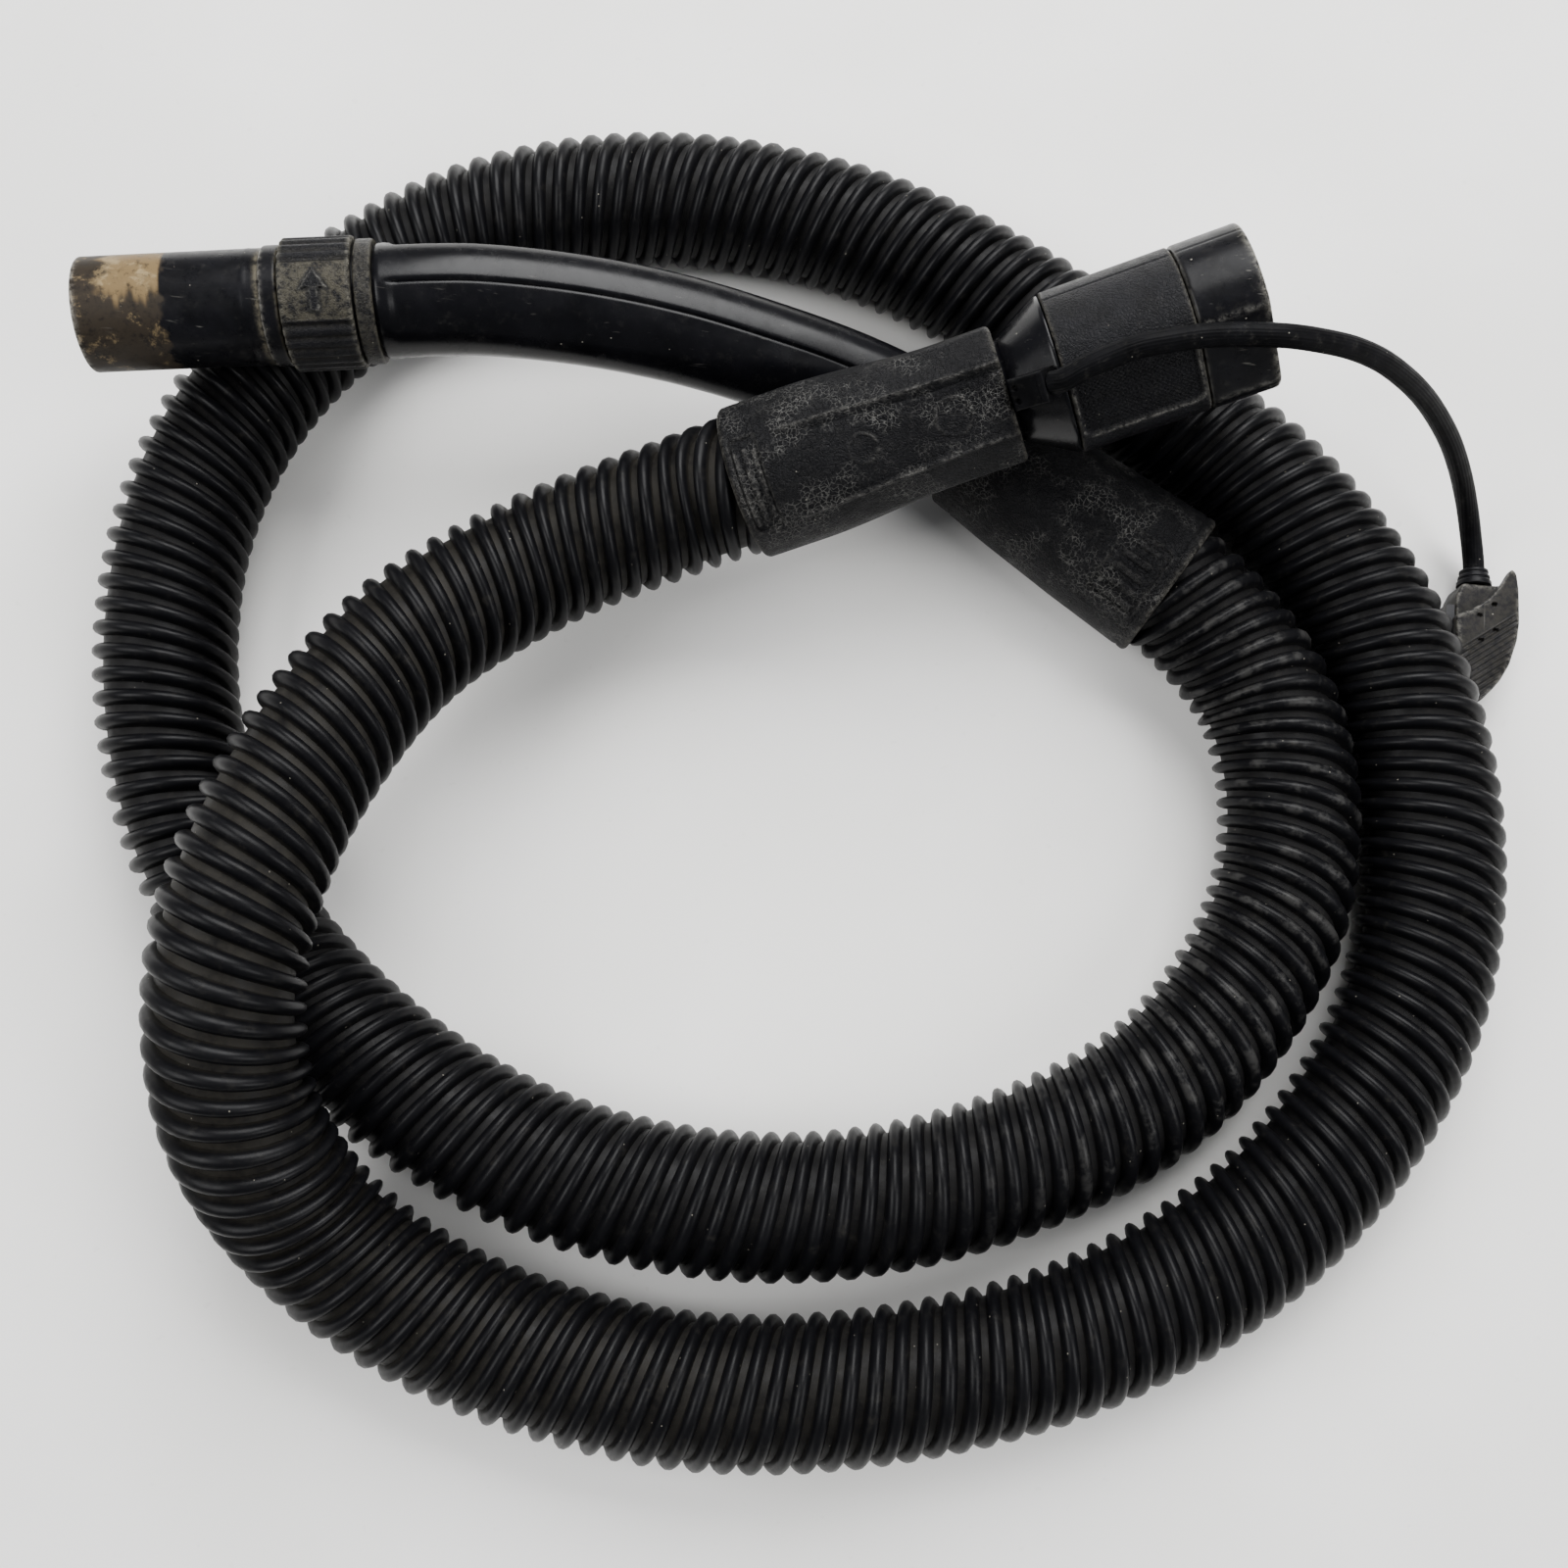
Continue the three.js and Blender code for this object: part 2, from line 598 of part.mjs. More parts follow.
addTo(handle, 'handle_ferrule', turned([
  [ferruleStart, ferruleBore], [handleFerruleEnd, ferruleBore], [handleFerruleEnd, ferruleOuter],
  [gripFlange + flangeThickness, ferruleOuter], [gripFlange + flangeThickness, hoseRadius],
  [gripFlange, hoseRadius], [gripFlange, ferruleOuter], [ferruleStart, ferruleOuter],
]), innerPlastic);

addTo(handle, 'handle_seal',
  sleeve(handleFerruleEnd + clearance, tubeStart - clearance, ferruleBore, ferruleOuter, smallSides),
  sealRubber);

{
  const slots = [-1, 1].map((side) => turnTo(block(
    outletStation - contactLength / 2 - contactGap, outletStation + contactLength / 2 + contactGap,
    side * contactSpacing / 2 - 0.9, side * contactSpacing / 2 + 0.9, outletFoot + 1.2, outletTop + 5),
  outletAngle));
  addTo(handle, 'outlet_socket', cut(outletBlock(0), ...slots), mouldedPlastic);
  for (const side of [-1, 1]) {
    const contact = turnTo(block(
      outletStation - contactLength / 2, outletStation + contactLength / 2,
      (side * contactSpacing - contactThickness) / 2, (side * contactSpacing + contactThickness) / 2,
      outletFoot + 1.5, outletTop - 1.2), outletAngle);
    addTo(handle, `outlet_contact_${side < 0 ? 1 : 2}`, contact, brass);
  }
}

// Curved wand tube
{
  const section = polygon(tubeRadius, smallSides);
  section.holes.push(polygon(tubeRadius - tubeWall, smallSides, THREE.Path));
  const geometry = new THREE.ExtrudeGeometry(section, {
    steps: tubeSteps, extrudePath: curveThrough(tubeRoute), bevelEnabled: false,
  });
  addTo(model, 'curved_tube', geometry, glossPlastic);
}

// Wand end, built along X from the curved tube's end towards the mouth
const wand = assembly(wandOrigin, wandDirection);
const ringStart = clearance + collarWidth + runningGap;
const ringEnd = ringStart + ringWidth;
const ringMiddle = (ringStart + ringEnd) / 2;
const springFoot = ringSeatRadius - springRise - 0.1;
const shoulderStart = ringEnd + runningGap;
const shoulderEnd = shoulderStart + shoulderWidth;
const wandEnd = shoulderEnd + endTubeLength;

// A window through a ring's wall in one direction round the axis
function bleedWindow(angle, inner, outer) {
  return turnTo(block(
    ringMiddle - bleedLength / 2, ringMiddle + bleedLength / 2,
    -bleedWidth / 2, bleedWidth / 2, inner, outer), angle);
}

// The leaf spring lies in a pocket of the ring seat and bears on the ring
function springPocket(grow) {
  return turnTo(block(
    ringMiddle - springLength / 2 - grow, ringMiddle + springLength / 2 + grow,
    -springWidth / 2 - grow, springWidth / 2 + grow,
    springFoot - grow, ringSeatRadius + 5 * grow), springAngle);
}

{
  const outer = turned([
    [-spigotLength, spigotBore], [shoulderStart, spigotBore], [shoulderEnd, endTubeBore],
    [wandEnd, endTubeBore], [wandEnd, endTubeRadius - 0.5], [wandEnd - 0.8, endTubeRadius],
    [shoulderEnd, endTubeRadius + 0.2], [shoulderEnd, shoulderRadius], [shoulderStart, shoulderRadius],
    [shoulderStart, ringSeatRadius], [clearance + collarWidth + 0.1, ringSeatRadius],
    [clearance + collarWidth + 0.1, spigotRadius], [-spigotLength, spigotRadius],
  ]);
  addTo(wand, 'end_tube',
    cut(outer, bleedWindow(bleedAngle, spigotBore - 3, ringSeatRadius + 0.5), springPocket(clearance)),
    spigotPlastic);
}

addTo(wand, 'collar_band',
  sleeve(clearance, clearance + collarWidth - 0.25, spigotRadius + clearance, collarRadius), mouldedPlastic);

{
  // Fluted outside, left plain over the arrow pad
  const shape = new THREE.Shape();
  const steps = fluteCount * 3;
  for (let i = 0; i < steps; i++) {
    const angle = i / steps * 2 * Math.PI;
    const offset = angle - rad(arrowAngle);
    const away = Math.abs(Math.atan2(Math.sin(offset), Math.cos(offset)));
    const fluted = away > rad(arrowPadSpread);
    const r = ringRadius - (fluted ? fluteDepth * (0.5 - 0.5 * Math.cos(angle * fluteCount)) : 0);
    if (i === 0) shape.moveTo(r * Math.cos(angle), r * Math.sin(angle));
    else shape.lineTo(r * Math.cos(angle), r * Math.sin(angle));
  }
  const bore = rod(ringStart - 1, ringEnd + 1, ringSeatRadius + runningGap, roundSides);
  const ring = cut(prism(shape, ringStart, ringEnd), bore,
    bleedWindow(bleedAngle - ringTravel, ringSeatRadius, ringRadius + 2));
  addTo(wand, 'control_ring', ring, mouldedPlastic);
}

{
  const half = springLength / 2;
  const leaf = slab([
    [ringMiddle - half, springFoot], [ringMiddle + half, springFoot],
    [ringMiddle + half, springFoot + springThickness], [ringMiddle + half / 2.4, springFoot + springRise],
    [ringMiddle - half / 2.4, springFoot + springRise], [ringMiddle - half, springFoot + springThickness],
  ], springWidth);
  addTo(wand, 'ring_spring', turnTo(leaf, springAngle), steel);
}

export default model;
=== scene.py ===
import functools
import json
import math

import bpy
import numpy as np
from mathutils import Matrix, Vector


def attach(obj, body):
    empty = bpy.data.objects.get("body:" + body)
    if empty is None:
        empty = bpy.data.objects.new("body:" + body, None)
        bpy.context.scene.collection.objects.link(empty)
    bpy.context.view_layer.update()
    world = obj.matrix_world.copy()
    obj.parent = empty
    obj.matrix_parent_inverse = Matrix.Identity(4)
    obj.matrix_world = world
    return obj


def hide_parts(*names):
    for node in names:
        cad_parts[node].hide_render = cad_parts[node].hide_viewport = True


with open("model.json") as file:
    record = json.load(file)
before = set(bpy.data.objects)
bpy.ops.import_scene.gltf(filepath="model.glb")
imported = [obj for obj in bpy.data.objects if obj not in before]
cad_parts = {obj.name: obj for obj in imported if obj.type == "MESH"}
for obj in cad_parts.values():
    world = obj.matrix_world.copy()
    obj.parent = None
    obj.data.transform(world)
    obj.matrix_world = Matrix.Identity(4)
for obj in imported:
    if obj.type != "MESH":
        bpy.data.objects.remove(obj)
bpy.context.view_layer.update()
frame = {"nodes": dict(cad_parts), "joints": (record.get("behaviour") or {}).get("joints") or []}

mm = 0.001


view = {
    "place": (-0.0013, -0.1127, 0.48474),     # m
    "tiltTowardsNorth": 12.59,                # degrees from straight down
    "rollAboutView": 5.156,
    "lens": 36.0,
    "sensor": 36.0,
}


def makeCamera():
    cameraData = bpy.data.cameras.new("camera")
    cameraData.lens = view["lens"]
    cameraData.sensor_width = view["sensor"]
    cameraData.clip_start = 0.01
    camera = bpy.data.objects.new("camera", cameraData)
    tilt = Matrix.Rotation(math.radians(view["tiltTowardsNorth"]), 4, "X")
    roll = Matrix.Rotation(math.radians(view["rollAboutView"]), 4, "Z")
    camera.matrix_world = Matrix.Translation(view["place"]) @ tilt @ roll
    bpy.context.scene.collection.objects.link(camera)
    bpy.context.scene.camera = camera


studio = {
    "floorHalfWidth": 3.0,
    "floorColour": "#ebeae8",
    "floorShade": "#e5e4e1",
    "skyColour": "#eceef2",
    "skyStrength": 0.3,
    # name: place, size, watts; each lamp faces the origin
    "lamps": {
        "northSoftbox": ((0.15, 1.0, 1.15), 1.1, 52.0),
        "westSoftbox": ((-1.15, -0.2, 1.2), 1.0, 26.0),
        "eastSoftbox": ((1.2, -0.3, 1.1), 1.0, 22.0),
    },
}


def linear(hexColour, alpha=1.0):
    # sRGB to linear light, channel by channel
    channels = np.array([int(hexColour[i:i + 2], 16) for i in (1, 3, 5)]) / 255
    low = channels / 12.92
    high = ((channels + 0.055) / 1.055) ** 2.4
    return (*np.where(channels <= 0.04045, low, high).tolist(), alpha)


# Each recipe: the node, its fixed settings, the sockets that values go to in turn, and the output passed on
recipes = {
    "place": ("TexCoord", {}, (), "Object"),
    "mix": ("Mix", {"data_type": "RGBA"}, (0, 6, 7), 2),
    "ramp": ("MapRange", {"interpolation_type": "SMOOTHSTEP"},
             ("Value", "From Min", "From Max", "To Min", "To Max"), "Result"),
    "times": ("Math", {"operation": "MULTIPLY"}, (0, 1), "Value"),
    "plus": ("Math", {"operation": "ADD"}, (0, 1), "Value"),
    "noise": ("TexNoise", {}, ("Vector", "Scale", "Detail", "Roughness"), "Fac"),
    "noiseVector": ("TexNoise", {}, ("Vector", "Scale", "Detail"), "Color"),
    "cells": ("TexVoronoi", {}, ("Vector", "Scale"), "Distance"),
    "cellEdges": ("TexVoronoi", {"feature": "DISTANCE_TO_EDGE"}, ("Vector", "Scale"), "Distance"),
    "vectorMinus": ("VectorMath", {"operation": "SUBTRACT"}, (0, 1), "Vector"),
    "vectorTimes": ("VectorMath", {"operation": "SCALE"}, (0, "Scale"), "Vector"),
    "vectorPlus": ("VectorMath", {"operation": "ADD"}, (0, 1), "Vector"),
    "stretch": ("Mapping", {}, ("Vector", "Scale", "Rotation"), "Vector"),
    "bump": ("Bump", {}, ("Height", "Distance", "Normal"), "Normal"),
    "attribute": ("Attribute", {}, (), "Fac"),
    "shader": ("BsdfPrincipled", {},
               ("Base Color", "Roughness", "Normal", "IOR", "Specular IOR Level", "Metallic"), "BSDF"),
    "surface": ("OutputMaterial", {}, ("Surface",), None),
}


def addNode(tree, recipe, *values, **settings):
    # one node: each value is a socket to link, an sRGB hex colour, a number, or None to leave it as it is
    kind, fixed, sockets, output = recipes[recipe]
    node = tree.nodes.new("ShaderNode" + kind)
    for key, value in (fixed | settings).items():
        setattr(node, key, value)
    for key, value in zip(sockets, values):
        if isinstance(value, bpy.types.NodeSocket):
            tree.links.new(value, node.inputs[key])
        elif value is not None:
            node.inputs[key].default_value = linear(value) if isinstance(value, str) else value
    return None if output is None else node.outputs[output]


def startMaterial(name):
    # an empty material, the function that adds a node to it, and the place on the object in metres
    material = bpy.data.materials.new(name)
    material.use_nodes = True
    material.node_tree.nodes.clear()
    add = functools.partial(addNode, material.node_tree)
    return material, add, add("place")


def finishMaterial(material, add, layers):
    wanted = ("colour", "roughness", "normal", "ior", "shine", "metallic")
    add("surface", add("shader", *(layers.get(key) for key in wanted)))
    return material


def layOver(add, colour, mask, amount, over):
    # another colour over the first where the mask is, by the amount
    return add("mix", add("times", mask, amount), colour, over)


# Every finish: base and lift are the colours that slow clouding runs between; clouding in mm; rough is the
# roughness span; grain lists (kind, size in mm, height in mm); dust is (colour, amount, patch size in mm);
# scratches is (colour, amount, direction); specks is (colour, spacing in mm, share of spacing); cracks is
# (colour, amount, cell size in mm, patch size in mm)
finishes = {
    "extruded vinyl hose": {
        "base": "#08080a", "lift": "#0c0c0e", "clouding": 14,
        "rough": (0.3, 0.44), "ior": 1.42, "shine": 0.12,
        "grain": [("noise", 0.7, 0.02)],
        "dust": ("#55524a", 0.12, 5.0), "specks": ("#77736a", 5.5, 0.05),
    },
    "leather-grained vinyl": {
        "base": "#060608", "lift": "#0e0e10", "clouding": 11,
        "rough": (0.4, 0.56), "ior": 1.43, "shine": 0.14,
        "grain": [("folds", 1.9, 0.2), ("cells", 0.8, 0.1), ("noise", 0.4, 0.04)],
        "dust": ("#5f5d58", 0.12, 4.0), "specks": ("#8d897f", 6.0, 0.04),
        "scratches": ("#5f5d58", 0.14, (1.0, 0.2, 0.2)),
        "cracks": ("#7f7e7a", 0.28, 1.6, 14.0),
    },
    "spark-textured ABS": {
        "base": "#0a0a0c", "lift": "#121215", "clouding": 9,
        "rough": (0.34, 0.46), "ior": 1.46, "shine": 0.12,
        "grain": [("cells", 1.0, 0.1), ("noise", 0.8, 0.3)],
        "dust": ("#66645e", 0.07, 3.0), "specks": ("#8d897f", 6.0, 0.04),
        "scratches": ("#66645e", 0.1, (0.25, 1.0, 0.4)),
    },
    "satin ABS": {
        "base": "#08080a", "lift": "#101013", "clouding": 10,
        "rough": (0.25, 0.38), "ior": 1.46, "shine": 0.11,
        "grain": [("noise", 1.4, 0.015)],
        "dust": ("#66645e", 0.1, 3.5), "specks": ("#8d897f", 6.0, 0.05),
        "scratches": ("#85837c", 0.25, (1.0, 0.3, 0.3)),
    },
    "polished ABS": {
        "base": "#050507", "lift": "#0b0b0e", "clouding": 16,
        "rough": (0.2, 0.3), "ior": 1.48, "shine": 0.17,
        "grain": [("noise", 5.0, 0.02)],
        "dust": ("#66645e", 0.05, 5.0), "specks": ("#8d897f", 7.0, 0.04),
        "scratches": ("#77756f", 0.1, (1.0, 0.2, 0.2)),
    },
    "drawn rubber jacket": {
        "base": "#070708", "lift": "#0e0e10", "clouding": 8,
        "rough": (0.42, 0.55), "ior": 1.44, "shine": 0.04,
        "grain": [("noise", 0.5, 0.02)],
        "dust": ("#6b6962", 0.14, 2.5), "specks": ("#8d897f", 5.0, 0.04),
    },
    "moulded plug vinyl": {
        "base": "#0b0b0d", "lift": "#131316", "clouding": 6,
        "rough": (0.36, 0.5), "ior": 1.45, "shine": 0.14,
        "grain": [("noise", 0.6, 0.03)],
        "dust": ("#77756d", 0.05, 2.5), "specks": ("#9a968b", 5.0, 0.05),
        "scratches": ("#85837c", 0.18, (0.3, 1.0, 0.3)),
    },
    "moulded nylon": {
        "base": "#1a1a1d", "lift": "#242428", "clouding": 6,
        "rough": (0.4, 0.55), "ior": 1.5, "shine": 0.3,
        "grain": [("noise", 0.5, 0.02)], "dust": ("#77756d", 0.08, 3.0),
    },
    "seal rubber": {
        "base": "#0e0e0f", "lift": "#171718", "clouding": 4,
        "rough": (0.6, 0.75), "ior": 1.45, "shine": 0.25,
        "grain": [("noise", 0.5, 0.02)], "dust": ("#77756d", 0.08, 3.0),
    },
}


def wrinkled(add, place, size):
    # the place, pushed aside by noise of about the same size, so that cell edges run crooked
    warp = add("noiseVector", place, 0.6 / (size * mm), 4.0)
    pushed = add("vectorTimes", add("vectorMinus", warp, (0.5, 0.5, 0.5)), size * 1.8 * mm)
    return add("vectorPlus", place, pushed)


creaseWidth = {"cells": 0.22, "folds": 0.12}      # share of the cell's size


def plasticMaterial(name, look):
    material, add, place = startMaterial(name)
    clouds = add("noise", place, 1 / (look["clouding"] * mm), 5.0, 0.62)
    colour = add("mix", add("ramp", clouds, 0.3, 0.72), look["base"], look["lift"])
    smear = add("noise", place, 1 / (look["clouding"] * 0.45 * mm), 7.0, 0.7)
    roughness = add("ramp", smear, 0.3, 0.7, *look["rough"])
    if "dust" in look:
        dustColour, amount, patch = look["dust"]
        patches = add("noise", place, 1 / (patch * mm), 9.0, 0.75)
        colour = layOver(add, colour, add("ramp", patches, 0.52, 0.78), amount, dustColour)
    if "scratches" in look:
        scratchColour, amount, direction = look["scratches"]
        stretch = tuple(900 if d < 0.9 else 45 for d in direction)
        for turn in (0.35, -0.8):
            lines = add("noise", add("stretch", place, stretch, (0.2, turn * 0.5, turn)), 1.0, 3.0, 0.5)
            colour = layOver(add, colour, add("ramp", lines, 0.68, 0.78), amount, scratchColour)
    if "specks" in look:
        speckColour, spacing, share = look["specks"]
        cells = add("cells", place, 1 / (spacing * mm))
        colour = layOver(add, colour, add("ramp", cells, share, share * 0.55), 0.75, speckColour)
    if "cracks" in look:
        crackColour, amount, size, patch = look["cracks"]
        lines = add("ramp", add("cellEdges", wrinkled(add, place, size), 1 / (size * mm)), 0.075, 0.01)
        where = add("ramp", add("noise", place, 1 / (patch * mm), 5.0, 0.6), 0.46, 0.6)
        colour = layOver(add, colour, add("times", lines, where), amount, crackColour)
    normal = None
    for kind, size, height in look["grain"]:
        if kind == "noise":
            source = add("noise", place, 1 / (size * mm), 4.0, 0.6)
        else:
            cells = add("cellEdges", wrinkled(add, place, size), 1 / (size * mm))
            source = add("ramp", cells, 0.0, creaseWidth[kind])
        normal = add("bump", source, height * mm, normal)
    layers = {"colour": colour, "roughness": roughness, "normal": normal, "place": place,
              "ior": look["ior"], "shine": look["shine"]}
    return material, add, layers


def plainPlastic(name):
    return finishMaterial(*plasticMaterial(name, finishes[name]))


def hoseMaterial():
    # Grooves hold beige dust, most of it towards the machine end; crests are chafed pale near the grip
    name = "extruded vinyl hose"
    material, add, layers = plasticMaterial(name, finishes[name])
    groove, dirty, chafed = (add("attribute", attribute_name=key) for key in ("groove", "dirty", "chafed"))
    blotches = add("noise", layers["place"], 1 / (9 * mm), 8.0, 0.72)
    inGroove = add("times", add("ramp", groove, 0.45, 1.0), add("ramp", blotches, 0.3, 0.62, 0.15, 1.0))
    colour = layOver(add, layers["colour"], inGroove, add("ramp", dirty, 0.0, 1.0, 0.02, 0.22), "#4a463d")
    onCrest = add("times", add("ramp", groove, 0.5, 0.05), add("ramp", blotches, 0.48, 0.62))
    layers["colour"] = layOver(add, colour, add("times", onCrest, chafed), 0.13, "#6f6e6b")
    layers["roughness"] = add("plus", layers["roughness"], add("times", inGroove, 0.22))
    return finishMaterial(material, add, layers)


def wornMaterial(title, finishName, wearAndHighlightColour, wearAndHighlightAmount, grimeColour="#8b8471", grimeAmount=0.6):
    # One attribute lightens edges with rubbed wear, and on some pieces with a painted edge highlight; the
    # grime attribute lays pale deposits in corners
    material, add, layers = plasticMaterial(title, finishes[finishName])
    patches = add("noise", layers["place"], 1 / (2.2 * mm), 8.0, 0.75)
    for key, start, end, amount, over in (("worn", 0.4, 0.62, wearAndHighlightAmount, wearAndHighlightColour),
                                          ("grime", 0.36, 0.6, grimeAmount, grimeColour)):
        mask = add("times", add("attribute", attribute_name=key), add("ramp", patches, start, end))
        layers["colour"] = layOver(add, layers["colour"], mask, amount, over)
    return finishMaterial(material, add, layers)


def metalMaterial(name, colourHex, tarnishHex, rough):
    material, add, place = startMaterial(name)
    lines = add("noise", add("stretch", place, (300, 2200, 900)), 1.0, 5.0)
    blotches = add("noise", place, 1 / (1.6 * mm), 6.0)
    return finishMaterial(material, add, {
        "colour": add("mix", add("ramp", blotches, 0.4, 0.7), colourHex, tarnishHex),
        "roughness": add("ramp", lines, 0.3, 0.7, *rough),
        "normal": add("bump", lines, 0.01 * mm), "metallic": 1.0,
    })


def localFrame(origin, direction):
    # x along the direction, y level, z square to both; columns of a 3x3 and an origin, in mm
    x = np.array(direction, float)
    x /= np.linalg.norm(x)
    y = np.cross([0, 0, 1], x)
    y /= np.linalg.norm(y)
    return np.array(origin, float), np.stack([x, y, np.cross(x, y)])


def placed(points, local):
    origin, axes = local
    return (origin + points @ axes) * mm


def makePiece(name, vertices, faces, material, body, replaced=(), attributes=None, sharpAngle=38):
    # vertices in metres in the part's frame; faces is an array or a list of arrays of one width each
    groups = faces if isinstance(faces, list) else [faces]
    used = np.unique(np.concatenate([g.ravel() for g in groups]))
    renumber = np.full(len(vertices), -1)
    renumber[used] = np.arange(len(used))
    mesh = bpy.data.meshes.new(name)
    polygons = [polygon for g in groups for polygon in renumber[g].tolist()]
    mesh.from_pydata(np.asarray(vertices)[used].tolist(), [], polygons)
    for key, values in (attributes or {}).items():
        layer = mesh.attributes.new(key, "FLOAT", "POINT")
        layer.data.foreach_set("value", np.asarray(values, np.float32)[used])
    mesh.shade_smooth()
    mesh.set_sharp_from_angle(angle=math.radians(sharpAngle))
    mesh.materials.append(material)
    mesh.update()
    piece = bpy.data.objects.new(name, mesh)
    bpy.context.scene.collection.objects.link(piece)
    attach(piece, body)
    if replaced:
        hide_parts(*replaced)
    return piece


def gridQuads(index):
    # quads of a grid of vertex numbers, in the order that turns angle-then-length grids outwards
    return np.stack([index[:-1, :-1], index[:-1, 1:], index[1:, 1:], index[1:, :-1]], -1).reshape(-1, 4)


def gridIndex(rows, columns, wrapped=True):
    # vertex numbers of a grid; wrapped repeats the first column after the last
    index = np.arange(rows * columns).reshape(rows, columns)
    return np.hstack([index, index[:, :1]]) if wrapped else index


def wholeTriangles(quads):
    # two triangles a quad, without the empty ones where the grid has closed to a point
    triangles = np.concatenate([quads[:, [0, 1, 2]], quads[:, [0, 2, 3]]])
    a, b, c = triangles.T
    return triangles[(a != b) & (b != c) & (a != c)]


def fullTurn(count, start=0.0):
    return np.linspace(0, 2 * np.pi, count, endpoint=False)[None] + start


def shellFaces(rows, columns, kept):
    # Cells of an outer and an inner grid that both wrap round, and a wall wherever a kept cell has
    # no neighbour
    r, c = np.nonzero(kept)
    a, b = r * columns + c, r * columns + (c + 1) % columns
    d, e = a + columns, b + columns
    n = rows * columns
    blank = np.zeros((1, columns), bool)
    neighbours = [np.vstack([blank, kept[:-1]]), np.vstack([kept[1:], blank]),
                  np.roll(kept, 1, axis=1), np.roll(kept, -1, axis=1)]
    quads = [np.stack([a, b, e, d], 1), np.stack([a, d, e, b], 1) + n]
    for neighbour, p, q in zip(neighbours, (b, d, a, e), (a, e, d, b)):
        quads.append(np.stack([p, q, q + n, p + n], 1)[~neighbour[r, c]])
    return np.concatenate(quads)


def ringGrid(stations, angles, radius):
    # points of a surface round x: each station's radius may differ with the angle
    x, angle = np.broadcast_arrays(stations, angles)
    return np.stack([x, radius * np.cos(angle), radius * np.sin(angle)], -1)


def makeShell(name, x, angle, radius, bore, local, material, body, slotName, node, kept=None, **layers):
    # An outer and an inner surface round the local x axis, with walls at the rims and round every window.
    # A layer's values lie on the outer surface; a pair gives the inner surface its own as well
    rows, columns = x.size, angle.size
    points = np.concatenate([ringGrid(x, angle, side).reshape(-1, 3) for side in (radius, bore)])
    attributes = {}
    for key, value in layers.items():
        sides = value if isinstance(value, tuple) else (value, 0)
        attributes[key] = np.concatenate([np.broadcast_to(side, (rows, columns)).ravel() for side in sides])
    if kept is None:
        kept = np.ones((rows - 1, columns), bool)
    faces = shellFaces(rows, columns, kept)
    return makePiece(name, placed(points, local), faces, material, body, [node], attributes)


def outsideWindow(x, angle, station, facing, half, radius):
    # cells whose middle lies outside a window; half holds its half length and half width
    middle = (x[:-1] + x[1:]) / 2
    turn = angle + np.pi / angle.size - np.radians(facing)
    across = np.abs(radius * np.sin(turn)) < half[1]
    return ~((np.abs(middle - station) < half[0]) & (np.cos(turn) > 0) & across)


def smooth(value, low, high):
    t = np.clip((value - low) / (high - low), 0, 1)
    return t * t * (3 - 2 * t)


def bell(distance, width):
    # 1 at no distance, and next to nothing at twice the width
    return np.exp(-(distance / width) ** 2)


def nearEnds(x, start, end, width):
    return bell(np.minimum(x - start, end - x), width)


def lipDrop(x, start, end, radius):
    # how far a rounded rim falls away from the wall at both ends: a quarter circle of the radius
    near = np.clip(radius - np.minimum(x - start, end - x), 0, radius)
    return radius - np.sqrt(np.maximum(radius ** 2 - near ** 2, 0))


def stationsBetween(start, end, step, rim):
    # even stations with closer ones near both rims, where the rounding is
    rimSteps = rim * (1 - np.cos(np.linspace(0, np.pi / 2, 7)))
    middle = np.linspace(start + rim, end - rim, max(2, int((end - start) / step)))
    return np.unique(np.round(np.concatenate([start + rimSteps, middle, end - rimSteps]), 5))


def roundedProfile(points, radius, steps=4):
    # every corner of a closed outline becomes a short arc: a quadratic curve between points
    # that lie the radius, or a third of the side, away from the corner
    p = np.array(points, float)
    before, after = np.roll(p, 1, axis=0) - p, np.roll(p, -1, axis=0) - p
    lengthBefore = np.linalg.norm(before, axis=1)[:, None]
    lengthAfter = np.linalg.norm(after, axis=1)[:, None]
    a = p + before / lengthBefore * np.minimum(radius, lengthBefore / 3)
    b = p + after / lengthAfter * np.minimum(radius, lengthAfter / 3)
    t = np.linspace(0, 1, steps)[None, :, None]
    arcs = (1 - t) ** 2 * a[:, None] + 2 * t * (1 - t) * p[:, None] + t ** 2 * b[:, None]
    return arcs.reshape(-1, 2)


def turnedPiece(name, profile, local, material, body, replaced, radius=0.5, sides=128, layers=None):
    # a closed outline of (x, radius) carried once round the x axis
    outline = roundedProfile(profile, radius)
    points = ringGrid(outline[:, :1], fullTurn(sides), outline[:, 1:])
    index = gridIndex(len(outline), sides)
    quads = gridQuads(np.vstack([index, index[:1]]))
    x, r = outline.T
    if np.sum(x * np.roll(r, -1) - np.roll(x, -1) * r) > 0:
        quads = quads[:, ::-1]
    attributes = {key: value(points).ravel() for key, value in (layers or {}).items()}
    vertices = placed(points.reshape(-1, 3), local)
    return makePiece(name, vertices, quads, material, body, replaced, attributes)


